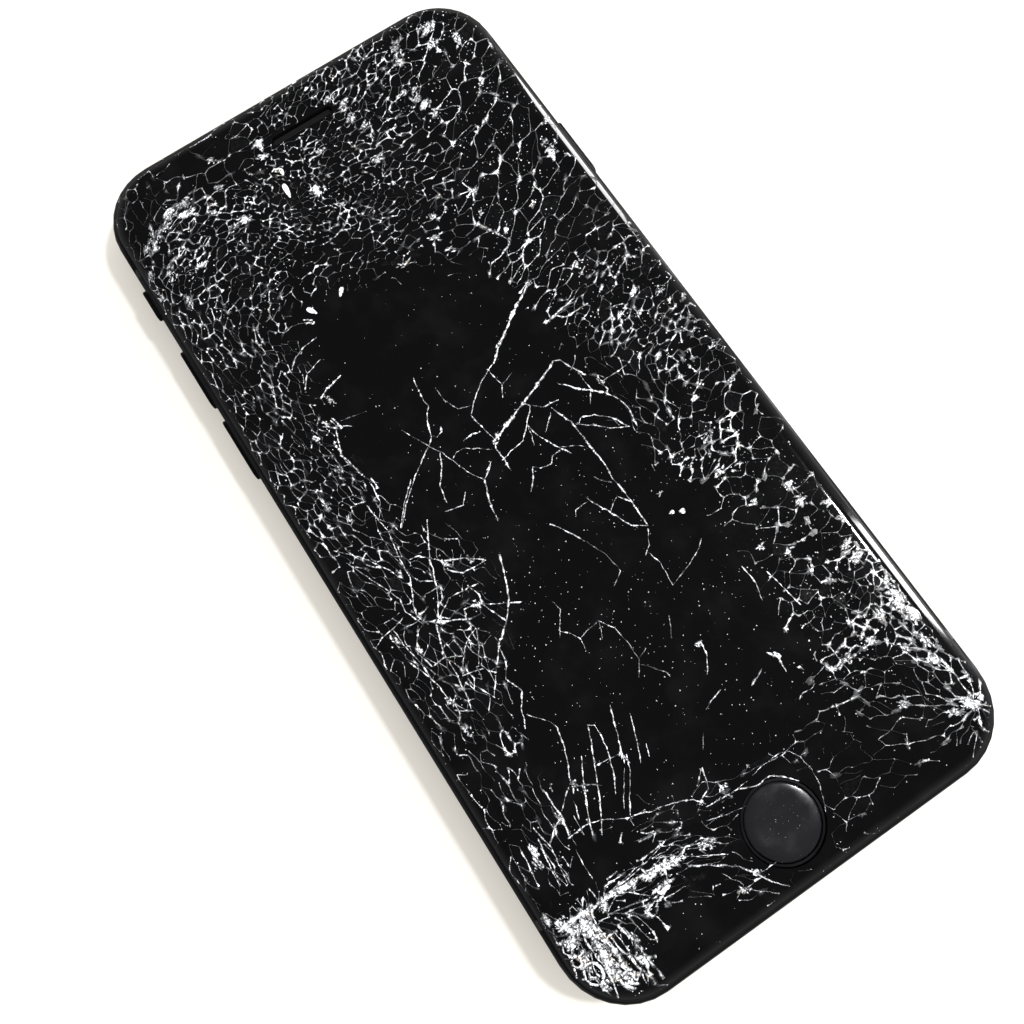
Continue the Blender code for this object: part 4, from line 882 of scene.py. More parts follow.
def make_crack_webs(field, cells, groups):
    """The cracks between the shards, thin in the middle and flared to stars where they meet, and painted
    whiter along one direction as a painted highlight.
    """
    draw = random.Random(SHARD_SEED)
    piles = {name: Pile() for name in ("crack_web_upper", "crack_web_middle", "crack_web_lower")}
    sides = web_sides(cells, groups)
    middles = np.array([((a[0] + b[0]) / 2, (a[1] + b[1]) / 2) for a, b, _ in sides])
    lines, stars, whites, keeps = field.strengths(middles)
    for index, (start, end, strength) in enumerate(sides):
        if draw.random() > keeps[index]:
            continue
        span = math.dist(start, end)
        if span < SHORTEST_SIDE:
            continue
        steps = min(max(round(span / CRUMB), FEWEST_STEPS), MOST_STEPS)
        path = [warped(*between(start, end, step / steps)) for step in range(steps + 1)]
        if not all(on_face(x, y) for x, y in path):
            continue
        slope = math.atan2(end[1] - start[1], end[0] - start[0])
        # Painted highlight: cracks that run along one direction are painted whiter than the rest.
        painted_glint = 0.6 + 0.4 * abs(math.cos(slope - PAINTED_GLINT_TURN))
        sparks = [0.5 + 1.3 * unevenness(x, y, 5.0, SPARK_SIZE) for x, y in path]
        cloud = unevenness(*path[0], 9.0, CLOUD_SIZE)
        strength *= min(max(0.75 + 1.3 * cloud, 0.25), 1.25)
        thin = lines[index] * draw.uniform(0.3, 1.35) * strength
        white_and_glint = whites[index] * painted_glint * math.sqrt(strength) * draw.uniform(0.3, 1.4)
        widths = []
        whiteness = []
        for step, spark in enumerate(sparks):
            flare = (2 * abs(step / steps - 0.5)) ** 2
            spark = min(max(spark, 0.08), 1.3)
            crumb = 0.7 + 0.9 * abs(unevenness(*path[step], 7.0, CRUMB))
            width = crumb * (thin + (stars[index] * strength - thin) * flare * spark)
            widths.append(max(min(width, 0.6 * span), THINNEST))
            whiteness.append(min(1.0, white_and_glint * (0.42 + 0.75 * spark * (0.35 + 0.65 * flare))))
        height = middles[index][1] / half_length
        name = "upper" if height > UPPER_THIRD else "middle" if height > -UPPER_THIRD else "lower"
        pile = piles["crack_web_" + name]
        ribbon(pile, path, widths, whiteness)
        if sparks[0] > 0.45 and draw.random() < BURST_SHARE * whites[index] * strength:
            radius = min(0.75 * stars[index] * sparks[0], 0.5 * span + 0.1 * MM) * draw.uniform(0.4, 1.0)
            burst(pile, draw, *path[0], radius, slope, min(1.0, whites[index] * draw.uniform(0.8, 1.5)))
        if cloud > 0 and draw.random() < HAZE_SHARE * keeps[index]:
            haze = min(0.5, whites[index] * (0.12 + 0.9 * cloud))
            radius = min(draw.uniform(0.25, 0.6) * span + 0.15 * MM, HAZE_RADIUS)
            burst(pile, draw, *path[0], radius, slope, haze, draw.uniform(HAZE_LOW, HAZE_HIGH))
    for name, pile in piles.items():
        carry(pile.piece(name, broken_edges), "phone")


def make_shard_plates(field, seeds, cells):
    """Shards that stand a little proud and tilted, each with its own reflection, some painted greyer as a
    painted reflection.
    """
    draw = random.Random(SHARD_SEED + 2)
    pile = Pile()
    keeps = field.strengths(seeds)[3]
    for index, polygon in enumerate(cells):
        if draw.random() > PLATE_SHARE * keeps[index]:
            continue
        middle = [sum(corner[axis] for corner in polygon) / len(polygon) for axis in (0, 1)]
        if edge_distance(*middle) < SIDE_ROUNDING or len(polygon) < 3:
            continue
        outline = [warped(*between(middle, corner, PLATE_SIZE)) for corner in polygon]
        if not all(on_face(x, y) for x, y in outline):
            continue
        tilt_x = math.tan(math.radians(draw.gauss(0, PLATE_TILT)))
        tilt_y = math.tan(math.radians(draw.gauss(0, PLATE_TILT)))
        tops = []
        for x, y in outline:
            rise = (x - middle[0]) * tilt_x + (y - middle[1]) * tilt_y
            tops.append((x, y, face + min(max(PLATE_LIFT + rise, PLATE_LEAST), CRACK_LOW)))
        bottoms = [(x, y, face - PLATE_ROOT) for x, y in outline]
        count = len(outline)
        sides = [tuple(range(count)), tuple(reversed(range(count, 2 * count)))]
        for corner in range(count):
            after = (corner + 1) % count
            sides.append((corner, corner + count, after + count, after))
        # Each plate's whiteness sets how grey its painted reflection is.
        pile.add(tops + bottoms, sides, [draw.random()] * (2 * count))
    carry(pile.piece("shard_plates", shard_black), "phone")


def add_cylinder(shape, radius, middle):
    """An upright cylinder added to a shape, as the tool for a hole. Its corners are returned."""
    made = bmesh.ops.create_cone(
        shape, cap_ends=True, segments=HOLE_STEPS, radius1=radius, radius2=radius, depth=CUT_DEPTH
    )["verts"]
    bmesh.ops.translate(shape, verts=made, vec=middle)
    return made


def make_glass_body():
    """The sheet of black glass, its face rolling off at the edge, with its two holes."""
    roll = math.acos(1 - (face - glass_low) / SIDE_ROUNDING)
    rings = [outline_ring(SIDE_ROUNDING + FLAT_RIM, face)]
    for step in range(EDGE_STEPS + 1):
        turn = roll * step / EDGE_STEPS
        inset = SIDE_ROUNDING * (1 - math.sin(turn))
        rings.append(outline_ring(inset, face - SIDE_ROUNDING * (1 - math.cos(turn))))
    body = bmesh.new()
    loops = [[body.verts.new(point) for point in ring] for ring in rings]
    for upper, lower in zip(loops, loops[1:]):
        for index in range(len(upper)):
            after = (index + 1) % len(upper)
            body.faces.new((upper[index], lower[index], lower[after], upper[after]))
    body.faces.new(loops[0])
    body.faces.new(list(reversed(loops[-1])))
    bmesh.ops.remove_doubles(body, verts=body.verts, dist=1e-7)
    bmesh.ops.recalc_face_normals(body, faces=body.faces)
    form = new_piece("glass_form", mesh_of("glass_form", body), glass_black)
    cutter = bmesh.new()
    add_cylinder(cutter, home_hole, (home_centre.x, home_centre.y, face))
    slot_ends = []
    for side in (-1, 1):
        middle = (slot_centre.x + side * (slot_half.x - slot_half.y), slot_centre.y, face)
        slot_ends.extend(add_cylinder(cutter, slot_half.y, middle))
    bmesh.ops.convex_hull(cutter, input=slot_ends)
    holes = new_piece("glass_holes", mesh_of("glass_holes", cutter), glass_black)
    cut = form.modifiers.new("holes", "BOOLEAN")
    cut.operation = "DIFFERENCE"
    cut.use_self = True
    cut.object = holes
    glass = settled(form, "glass_sheet", glass_black)
    bpy.data.objects.remove(holes, do_unlink=True)
    glass.data.shade_smooth()
    glass.data.set_sharp_from_angle(angle=GLASS_CREASE)
    carry(glass, "phone")
    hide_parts("cover_glass")


# Long cracks over the unbroken middle, as pixels of the photograph

BROAD, BOLD, PLAIN, FINE, HAIR = 1.3 * MM, 0.66 * MM, 0.42 * MM, 0.30 * MM, 0.20 * MM
LONG_CRACKS = (
    # down from the fan, and its forks
    (BOLD, 1.0, ((529, 280), (524, 293), (516, 306), (508, 325), (499, 346), (494, 363))),
    (FINE, 0.8, ((494, 363), (488, 370), (480, 384), (474, 401), (471, 415))),
    (FINE, 0.8, ((488, 370), (495, 378), (502, 385), (503, 398))),
    (HAIR, 0.6, ((502, 385), (507, 379), (512, 373))),
    (FINE, 0.7, ((471, 415), (476, 421), (483, 428), (494, 439))),
    (BOLD, 0.9, ((574, 298), (557, 313), (551, 319), (543, 323))),
    (PLAIN, 0.7, ((557, 316), (566, 317), (588, 303))),
    # the bold slanting crack and the web beside it
    (BOLD, 1.0, ((553, 361), (544, 376), (526, 399), (506, 426), (494, 441))),
    (PLAIN, 0.9, ((494, 441), (496, 449), (504, 459), (511, 471))),
    (FINE, 0.8, ((504, 459), (513, 449), (523, 441), (527, 424), (530, 406), (524, 403))),
    (FINE, 0.8, ((527, 424), (533, 432), (539, 436), (557, 447), (572, 453))),
    (HAIR, 0.5, ((527, 424), (532, 436), (534, 446))),
    (HAIR, 0.5, ((557, 447), (572, 446), (586, 446))),
    (PLAIN, 0.9, ((524, 404), (535, 406), (544, 407), (551, 403), (559, 400))),
    (FINE, 0.7, ((551, 412), (548, 422), (545, 433))),
    (PLAIN, 0.8, ((551, 408), (571, 422), (589, 444), (600, 458), (612, 477),
                  (626, 494), (640, 514), (648, 526))),
    (FINE, 0.7, ((576, 424), (590, 425), (612, 428), (630, 426))),
    (FINE, 0.7, ((579, 424), (581, 417), (594, 415), (611, 417), (630, 427))),
    (PLAIN, 0.9, ((553, 361), (560, 360), (569, 366), (584, 374))),
    (PLAIN, 0.9, ((557, 383), (579, 389), (591, 390), (605, 393), (619, 399), (629, 409), (637, 426))),
    (FINE, 0.6, ((591, 390), (590, 404))),
    (FINE, 0.8, ((599, 383), (612, 375), (627, 365))),
    (FINE, 0.8, ((599, 383), (608, 389), (606, 396))),
    (FINE, 0.6, ((594, 477), (603, 481), (612, 482))),
    (FINE, 0.9, ((585, 497), (606, 510), (611, 513), (631, 525), (648, 526))),
    (FINE, 0.6, ((611, 510), (614, 502), (617, 496), (632, 502))),
    (HAIR, 0.6, ((576, 517), (576, 510), (588, 501))),
    (FINE, 0.7, ((550, 524), (565, 530), (585, 541))),
    (HAIR, 0.4, ((585, 541), (606, 555), (621, 571), (614, 586))),
    (HAIR, 0.6, ((648, 528), (649, 545), (645, 556))),
    (HAIR, 0.6, ((649, 553), (659, 561), (666, 573), (673, 585),
                 (681, 575), (689, 565), (699, 548), (701, 538))),
    # long crack down the left of the middle
    (FINE, 0.8, ((413, 378), (421, 396), (428, 406), (427, 422), (431, 436), (429, 446))),
    (FINE, 0.7, ((429, 446), (422, 460), (416, 474), (406, 504), (402, 528))),
    (HAIR, 0.7, ((402, 430), (415, 438), (430, 447), (441, 452), (453, 461), (468, 472), (483, 479))),
    (PLAIN, 0.8, ((491, 462), (485, 479), (487, 490), (490, 503), (498, 521))),
    (HAIR, 0.6, ((435, 388), (445, 401), (458, 409), (470, 406))),
    (FINE, 0.6, ((441, 426), (442, 432), (437, 437), (431, 436))),
    (FINE, 0.7, ((440, 452), (442, 467), (440, 486), (444, 496), (447, 502))),
    (HAIR, 0.5, ((453, 459), (456, 452), (463, 449), (478, 448), (494, 450))),
    (FINE, 0.7, ((463, 441), (472, 434), (480, 432))),
    (FINE, 0.8, ((445, 512), (455, 508), (463, 505), (465, 492))),
    (FINE, 0.6, ((531, 492), (533, 480), (533, 467), (541, 468), (552, 464), (552, 456), (561, 449))),
    # arcs at the left
    (FINE, 0.7, ((286, 332), (292, 326), (299, 324), (314, 322))),
    (FINE, 0.7, ((292, 371), (296, 357), (304, 347), (317, 337))),
    (FINE, 0.7, ((305, 391), (307, 374), (321, 359))),
    (PLAIN, 0.8, ((321, 399), (326, 390), (332, 384), (341, 375))),
    (PLAIN, 0.9, ((330, 420), (336, 426), (338, 442), (343, 457), (357, 469))),
    (HAIR, 0.5, ((357, 469), (371, 482), (380, 483))),
    (FINE, 0.8, ((336, 426), (345, 426), (352, 426))),
    (HAIR, 0.35, ((341, 421), (354, 416), (366, 412))),
    # rays from the left edge to the star, and the ring round it
    (FINE, 0.8, ((333, 551), (348, 554), (363, 558), (378, 565), (391, 571), (400, 578))),
    (FINE, 0.8, ((366, 505), (377, 518), (388, 531), (398, 555), (410, 578), (413, 596), (413, 604))),
    (PLAIN, 0.9, ((413, 604), (417, 615), (423, 622), (438, 621), (449, 621), (466, 619))),
    (FINE, 0.7, ((411, 480), (407, 493), (404, 505), (401, 528))),
    (HAIR, 0.7, ((370, 482), (380, 502), (380, 518))),
    (FINE, 0.8, ((347, 563), (364, 575), (381, 586), (400, 599), (406, 612), (423, 624))),
    (PLAIN, 0.9, ((466, 619), (464, 609), (479, 604), (496, 604))),
    (FINE, 0.7, ((496, 604), (509, 603), (522, 602))),
    (FINE, 0.9, ((438, 618), (438, 599), (436, 583), (430, 560), (428, 538), (427, 520))),
    (FINE, 0.8, ((438, 621), (449, 598), (468, 588), (478, 583))),
    (FINE, 0.8, ((468, 586), (479, 594), (481, 603), (506, 621))),
    (PLAIN, 0.8, ((499, 555), (503, 568), (506, 580), (509, 599), (507, 619), (502, 636), (499, 646))),
    (FINE, 0.7, ((499, 646), (498, 658), (496, 672))),
    (PLAIN, 0.9, ((444, 561), (465, 558), (486, 560), (476, 566), (463, 573), (444, 569))),
    (FINE, 0.8, ((408, 560), (418, 556), (444, 561))),
    (FINE, 0.8, ((415, 578), (420, 581), (438, 581))),
    (PLAIN, 0.8, ((418, 626), (417, 640), (418, 654), (433, 667))),
    (FINE, 0.8, ((436, 624), (440, 640), (444, 654), (446, 658), (463, 656))),
    (FINE, 0.8, ((433, 667), (440, 661), (446, 656))),
    (FINE, 0.8, ((476, 628), (469, 637), (466, 643), (463, 662),
                 (463, 676), (474, 671), (486, 669), (496, 672))),
    (FINE, 0.6, ((476, 628), (479, 646), (478, 666))),
    (FINE, 0.7, ((497, 643), (506, 661), (506, 679), (522, 691), (521, 707), (526, 729))),
    (FINE, 0.8, ((468, 679), (473, 684), (494, 697), (496, 676))),
    (HAIR, 0.6, ((526, 714), (551, 722), (557, 728), (563, 743))),
    (FINE, 0.7, ((449, 661), (459, 679), (465, 693), (471, 709))),
    (FINE, 0.8, ((403, 618), (393, 629), (383, 637), (375, 648))),
    (FINE, 0.8, ((393, 629), (403, 644), (423, 666), (433, 681))),
    (FINE, 0.8, ((408, 662), (430, 677), (440, 688), (448, 699))),
    (FINE, 0.6, ((454, 710), (464, 711), (474, 710))),
    # below the middle
    (HAIR, 0.7, ((552, 601), (560, 609), (560, 622), (560, 638))),
    (HAIR, 0.7, ((560, 631), (571, 634), (580, 638), (585, 648))),
    (HAIR, 0.5, ((580, 638), (589, 629), (598, 621), (615, 628), (628, 643), (639, 659), (639, 677))),
    (HAIR, 0.6, ((599, 622), (603, 640))),
    (HAIR, 0.5, ((639, 659), (646, 648))),
    (HAIR, 0.35, ((640, 664), (654, 668), (666, 672), (671, 677))),
    (HAIR, 0.5, ((669, 616), (671, 627), (671, 638))),
    (FINE, 0.9, ((699, 641), (703, 646), (706, 652), (707, 662), (707, 674))),
    (PLAIN, 0.8, ((767, 653), (777, 657), (787, 672))),
    (PLAIN, 0.45, ((762, 669), (757, 677), (751, 686))),
    (FINE, 0.6, ((706, 709), (712, 699), (721, 689))),
    (FINE, 0.8, ((742, 566), (756, 583), (762, 600))),
    (FINE, 0.8, ((767, 571), (785, 589), (800, 604))),
    (HAIR, 0.4, ((703, 732), (703, 740), (703, 750))),
    # the ladder
    (FINE, 0.8, ((557, 728), (563, 742), (567, 760), (570, 778), (574, 793))),
    (HAIR, 0.8, ((574, 801), (577, 810), (579, 819))),
    (FINE, 0.8, ((581, 756), (584, 784), (586, 800), (588, 814), (593, 837))),
    (FINE, 0.9, ((588, 725), (593, 753), (597, 781), (600, 802), (602, 836))),
    (FINE, 0.9, ((588, 725), (594, 725), (601, 735), (609, 754), (613, 771), (616, 794))),
    (FINE, 0.9, ((610, 705), (616, 730), (621, 751), (625, 764))),
    (HAIR, 0.7, ((624, 768), (624, 790), (624, 809))),
    (FINE, 0.8, ((626, 754), (630, 771), (630, 790), (630, 814))),
    (HAIR, 0.9, ((630, 713), (634, 730), (638, 746), (641, 763))),
    (HAIR, 0.8, ((646, 743), (647, 750), (649, 756))),
    (PLAIN, 0.8, ((569, 783), (576, 786), (583, 786), (592, 784), (602, 786))),
    (FINE, 0.7, ((596, 766), (602, 762), (608, 759), (621, 753), (630, 763))),
    (FINE, 0.7, ((569, 786), (565, 797), (562, 811))),
    (PLAIN, 0.9, ((543, 789), (552, 803), (560, 814), (570, 837), (580, 829), (588, 824))),
    (FINE, 0.9, ((588, 824), (600, 820), (613, 819), (627, 818), (640, 814),
                 (653, 811), (663, 806), (683, 801))),
    (FINE, 0.8, ((683, 801), (693, 799), (706, 804))),
    (PLAIN, 0.9, ((533, 828), (540, 836), (550, 846), (554, 830), (560, 818))),
    (FINE, 0.8, ((550, 846), (556, 858), (562, 872), (568, 884))),
    (FINE, 0.8, ((538, 838), (545, 855), (553, 872), (560, 885))),
    (HAIR, 0.6, ((576, 850), (584, 865), (593, 879))),
    # the burst in the lower corner, its fan and its splinters
    (BROAD, 1.0, ((558, 932), (568, 924), (579, 916), (588, 911), (597, 905))),
    (BROAD, 1.0, ((595, 907), (606, 898), (614, 893), (624, 887), (633, 882))),
    (BROAD, 1.0, ((630, 884), (640, 877), (650, 873), (664, 866), (672, 862), (680, 859))),
    (BROAD, 1.0, ((566, 925), (573, 935), (571, 947), (562, 943))),
    (BROAD, 1.0, ((579, 918), (588, 930), (597, 944), (604, 956), (612, 968), (616, 982))),
    (BROAD, 0.95, ((587, 920), (600, 934), (612, 948), (622, 962), (633, 974))),
    (BOLD, 1.0, ((618, 926), (627, 934), (637, 944), (645, 955), (648, 970), (648, 986))),
    (BOLD, 0.95, ((600, 952), (606, 964), (613, 978), (626, 984), (640, 983))),
    (BOLD, 0.9, ((562, 943), (564, 955), (572, 958), (582, 955))),
    (BOLD, 0.85, ((652, 890), (661, 893), (668, 886), (666, 876))),
    (HAIR, 0.8, ((598, 900), (616, 887), (633, 875), (645, 863), (656, 852), (666, 840))),
    (FINE, 0.8, ((606, 894), (625, 884), (646, 872), (662, 864), (678, 857),
                 (686, 847), (706, 841), (721, 843))),
    (FINE, 0.7, ((596, 903), (612, 895), (630, 892), (650, 896))),
    (PLAIN, 0.95, ((585, 919), (592, 932), (601, 947), (612, 959), (623, 967), (638, 981))),
    (PLAIN, 0.95, ((593, 919), (601, 931), (610, 942), (618, 955), (628, 967))),
    (PLAIN, 0.9, ((580, 925), (586, 941), (597, 957), (606, 968), (612, 980))),
    (FINE, 0.9, ((623, 927), (630, 936), (636, 944), (642, 952), (646, 959), (648, 976))),
    (FINE, 0.9, ((613, 930), (622, 941), (631, 955), (640, 968), (647, 984))),
    (FINE, 0.8, ((574, 930), (577, 945), (583, 955), (590, 962))),
    # between the burst and the home button
    (HAIR, 0.8, ((706, 807), (718, 800), (731, 793), (747, 781))),
    (FINE, 0.8, ((714, 802), (726, 796), (739, 789), (756, 786), (770, 776), (785, 777), (799, 781))),
    (HAIR, 0.5, ((752, 776), (762, 766), (772, 758), (780, 753), (789, 751), (800, 757), (812, 770))),
    (HAIR, 0.6, ((812, 770), (820, 785), (826, 812))),
    (HAIR, 0.6, ((706, 821), (722, 816), (746, 806))),
    (FINE, 0.6, ((686, 865), (702, 866), (719, 865), (739, 867), (757, 874), (772, 882), (790, 887))),
    (HAIR, 0.6, ((686, 857), (707, 855), (729, 854))),
    (HAIR, 0.6, ((686, 850), (700, 847), (716, 846))),
    (HAIR, 0.6, ((722, 874), (733, 879), (744, 885), (737, 899))),
    (FINE, 0.5, ((757, 874), (768, 868), (776, 862))),
    (FINE, 0.6, ((697, 786), (702, 768), (709, 788), (702, 799))),
    (PLAIN, 0.8, ((718, 783), (721, 787), (724, 790))),
)
# Chips: pixel, length and width, direction in the picture, whiteness
CHIPS = (
    ((913, 612), 2.2 * MM, 1.15 * MM, -42, 3.0),
    ((287, 191), 2.7 * MM, 0.75 * MM, 118, 1.6),
    ((341, 292), 1.7 * MM, 0.65 * MM, 78, 0.8),
    ((312, 311), 1.8 * MM, 0.7 * MM, 155, 1.2),
    ((260, 146), 2.4 * MM, 0.9 * MM, 115, 0.9),
    ((282, 172), 1.5 * MM, 0.6 * MM, 118, 0.9),
    ((317, 191), 2.4 * MM, 0.8 * MM, 108, 0.7),
    ((245, 220), 1.8 * MM, 0.9 * MM, 105, 0.9),
    ((184, 215), 2.2 * MM, 1.2 * MM, 20, 0.9),
    ((169, 212), 2.6 * MM, 0.9 * MM, 38, 0.7),
    ((552, 154), 2.6 * MM, 1.0 * MM, 112, 0.9),
    ((506, 230), 1.1 * MM, 0.7 * MM, 80, 1.0),
    ((633, 292), 1.1 * MM, 0.7 * MM, 50, 1.0),
    ((424, 105), 2.2 * MM, 1.0 * MM, 60, 0.7),
    ((777, 655), 1.2 * MM, 0.6 * MM, -40, 1.2),
    ((682, 511), 0.9 * MM, 0.7 * MM, 10, 2.0),
    ((672, 512), 0.6 * MM, 0.5 * MM, 10, 2.0),
)
# Round cracks in the crushed corner: pixel and radius
ROUND_CRACKS = (((594, 974), 1.15 * MM), ((577, 962), 0.6 * MM))
ROUND_STEPS = 10
CHIP_STEPS = 14
CHIP_TAPER = 0.45
CHIP_RISE = 0.012 * MM
BEAD = 0.4 * MM
WANDER = 0.13 * MM
KNOT_SIZE = 0.7 * MM
KNOT_SHARE = 0.55


def route(pixels, seed):
    """Points every bead's length along a crack, wandering a little to each side."""
    corners = [Vector(on_glass(pixel)) for pixel in pixels]
    points = []
    for start, end in zip(corners, corners[1:]):
        steps = max(1, round((end - start).length / BEAD))
        points.extend(start.lerp(end, step / steps) for step in range(steps))
    points.append(corners[-1])
    path = []
    for point in points:
        shift = noise.noise_vector(Vector((point.x / BEAD / 2, point.y / BEAD / 2, seed)))
        path.append((point.x + WANDER * shift.x, point.y + WANDER * shift.y))
    return path


def chip(pile, pixel, length, width, lean, white):
    """A chip knocked out of the face: a low oval mound, white all over."""
    x, y = on_glass(pixel)
    turn = picture_turn(pixel, lean)
    corners = []
    for ring, share in enumerate((1.0, 0.6)):
        for step in range(CHIP_STEPS):
            angle = math.tau * step / CHIP_STEPS
            along = share * length / 2 * math.cos(angle)
            across = share * width / 2 * math.sin(angle) * (1 + CHIP_TAPER * math.cos(angle))
            rim = beside(x, y, along, across, turn)
            corners.append((*rim, glass_height(*rim) + CRACK_LOW + ring * CHIP_RISE))
    sides = [tuple(range(CHIP_STEPS, 2 * CHIP_STEPS)), tuple(reversed(range(CHIP_STEPS)))]
    for step in range(CHIP_STEPS):
        after = (step + 1) % CHIP_STEPS
        sides.append((step, after, after + CHIP_STEPS, step + CHIP_STEPS))
    pile.add(corners, sides, [0.3 * white] * CHIP_STEPS + [white] * CHIP_STEPS)


def make_long_cracks():
    """Beaded cracks over the plain glass: knots of broken glass joined by hairlines."""
    draw = random.Random(SHARD_SEED + 1)
    pile = Pile()
    for index, (width, white, pixels) in enumerate(LONG_CRACKS):
        path = route(pixels, index)
        widths = []
        whiteness = []
        for x, y in path:
            knot = max(0.0, unevenness(x, y, index, KNOT_SIZE)) + 0.35 * draw.random()
            widths.append(width * (0.3 + 1.0 * knot))
            whiteness.append(min(1.0, white * (0.3 + 1.2 * knot)))
            if draw.random() < KNOT_SHARE * knot:
                burst(pile, draw, x, y, width * draw.uniform(0.3, 0.85), draw.uniform(0, math.pi), white)
        widths[0] *= 0.4
        widths[-1] *= 0.4
        ribbon(pile, path, widths, whiteness)
    turns = [step / ROUND_STEPS * math.tau for step in range(ROUND_STEPS + 1)]
    for pixel, radius in ROUND_CRACKS:
        x, y = on_glass(pixel)
        ring = [(x + radius * math.cos(turn), y + 1.2 * radius * math.sin(turn)) for turn in turns]
        ribbon(pile, ring, [PLAIN * (0.8 + 0.5 * draw.random()) for _ in ring], [0.9] * len(ring))
    for measures in CHIPS:
        chip(pile, *measures)
    carry(pile.piece("long_cracks", broken_edges), "phone")


# Grains of glass and dust

SHEET_STEP = 0.7 * MM
GRAIN_RISE = 0.014 * MM
Grains = collections.namedtuple("Grains", "density smallest largest seed")
CRUSHED = Grains(3.2e6, 0.03 * MM, 0.16 * MM, 3)
DUST = Grains(0.42e6, 0.03 * MM, 0.12 * MM, 5)
BUTTON_DUST = Grains(1.2e6, 0.02 * MM, 0.06 * MM, 9)
PALE_SEED = 77
GRAIN_CLOUD = 1.8 * MM
BUTTON_RIM = 1.0 * MM
BUTTON_DISH = 0.08 * MM  # from the button's highest point down to the dust on its face
DUSTY_PIXEL = (650, 620)  # the face is dustiest here
DUSTY_REACH = 24 * MM


def grain_tree():
    """Grains strewn over a sheet, thickest where its attribute thickness says."""
    group = bpy.data.node_groups.new("strewn_grains", "GeometryNodeTree")
    group.is_modifier = True
    sockets = {"Sheet": "Geometry", "Density": "Float", "Smallest": "Float", "Largest": "Float"}
    sockets |= {"Seed": "Int", "Material": "Material"}
    for name, kind in sockets.items():
        group.interface.new_socket(name, in_out="INPUT", socket_type="NodeSocket" + kind)
    group.interface.new_socket("Grains", in_out="OUTPUT", socket_type="NodeSocketGeometry")
    tree = Tree(group)
    given = tree.add("NodeGroupInput").outputs
    thickness = tree.add("GeometryNodeInputNamedAttribute", {"data_type": "FLOAT"}, {"Name": "thickness"})
    density = Number(tree, thickness.outputs["Attribute"]) * Number(tree, given["Density"])
    seed = given["Seed"]
    scattered = {"Mesh": given["Sheet"], "Density": density, "Seed": seed}
    points = tree.add("GeometryNodeDistributePointsOnFaces", None, scattered).outputs["Points"]
    cone = {"Vertices": 3, "Side Segments": 1, "Radius Top": 0.3, "Radius Bottom": 1.0, "Depth": 0.16}
    grain = tree.add("GeometryNodeMeshCone", None, cone).outputs["Mesh"]
    turns = {0: (-0.1, -0.1, 0.0), 1: (0.1, 0.1, math.tau), "Seed": seed}
    turn = tree.add("FunctionNodeRandomValue", {"data_type": "FLOAT_VECTOR"}, turns).outputs[0]

    def chance(least, most, seed):
        sockets = {2: least, 3: most, "Seed": seed}
        return Number(tree, tree.add("FunctionNodeRandomValue", {"data_type": "FLOAT"}, sockets).outputs[1])

    smallest = Number(tree, given["Smallest"])
    size = chance(0.0, 1.0, seed) ** 2 * (Number(tree, given["Largest"]) - smallest) + smallest
    strewn = {"Points": points, "Instance": grain, "Rotation": turn, "Scale": size}
    placed = tree.add("GeometryNodeInstanceOnPoints", None, strewn).outputs[0]
    marked = tree.add(
        "GeometryNodeStoreNamedAttribute",
        {"data_type": "FLOAT", "domain": "INSTANCE"},
        {"Geometry": placed, "Name": "whiteness", "Value": chance(0.15, 1.0, PALE_SEED)},
    ).outputs[0]
    real = tree.add("GeometryNodeRealizeInstances", None, {"Geometry": marked}).outputs[0]
    faced = {"Geometry": real, "Material": given["Material"]}
    grains = tree.add("GeometryNodeSetMaterial", None, faced).outputs[0]
    tree.join(tree.add("NodeGroupOutput").inputs[0], grains)
    return group


def strew(name, sheet, grains, finish):
    """The sheet turned into the grains that lie on it."""
    holder = new_piece(name + "_sheet", sheet, finish)
    spread = holder.modifiers.new("grains", "NODES")
    spread.node_group = strewn_grains
    values = {
        "Density": grains.density,
        "Smallest": grains.smallest,
        "Largest": grains.largest,
        "Seed": grains.seed,
        "Material": finish.material,
    }
    for item in strewn_grains.interface.items_tree:
        if item.name in values:
            spread[item.identifier] = values[item.name]
    return settled(holder, name, finish)


def face_sheet(thickness):
    """A sheet over the glass's face with an attribute thickness, found from its points."""
    shape = bmesh.new()
    bmesh.ops.create_grid(
        shape,
        x_segments=round(2 * half_width / SHEET_STEP),
        y_segments=round(2 * half_length / SHEET_STEP),
        size=1.0,
    )
    for vertex in shape.verts:
        x, y = vertex.co.x * half_width, vertex.co.y * half_length
        vertex.co = (x, y, glass_height(x, y) + GRAIN_RISE)
    off = [side for side in shape.faces if not all(on_face(*corner.co[:2]) for corner in side.verts)]
    bmesh.ops.delete(shape, geom=off, context="FACES")
    mesh = mesh_of("face_sheet", shape)
    points = np.array([vertex.co[:2] for vertex in mesh.vertices])
    mesh.attributes.new("thickness", "FLOAT", "POINT").data.foreach_set("value", thickness(points))
    return mesh


def button_sheet():
    """A disc level with the home button's dished face."""
    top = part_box("home_button")[1]
    radius = top.x - home_centre.x - BUTTON_RIM
    shape = bmesh.new()
    bmesh.ops.create_circle(shape, cap_ends=True, segments=48, radius=radius)
    bmesh.ops.translate(shape, verts=shape.verts, vec=(home_centre.x, home_centre.y, top.z - BUTTON_DISH))
    mesh = mesh_of("button_sheet", shape)
    ones = np.ones(len(mesh.vertices))
    mesh.attributes.new("thickness", "FLOAT", "POINT").data.foreach_set("value", ones)
    return mesh


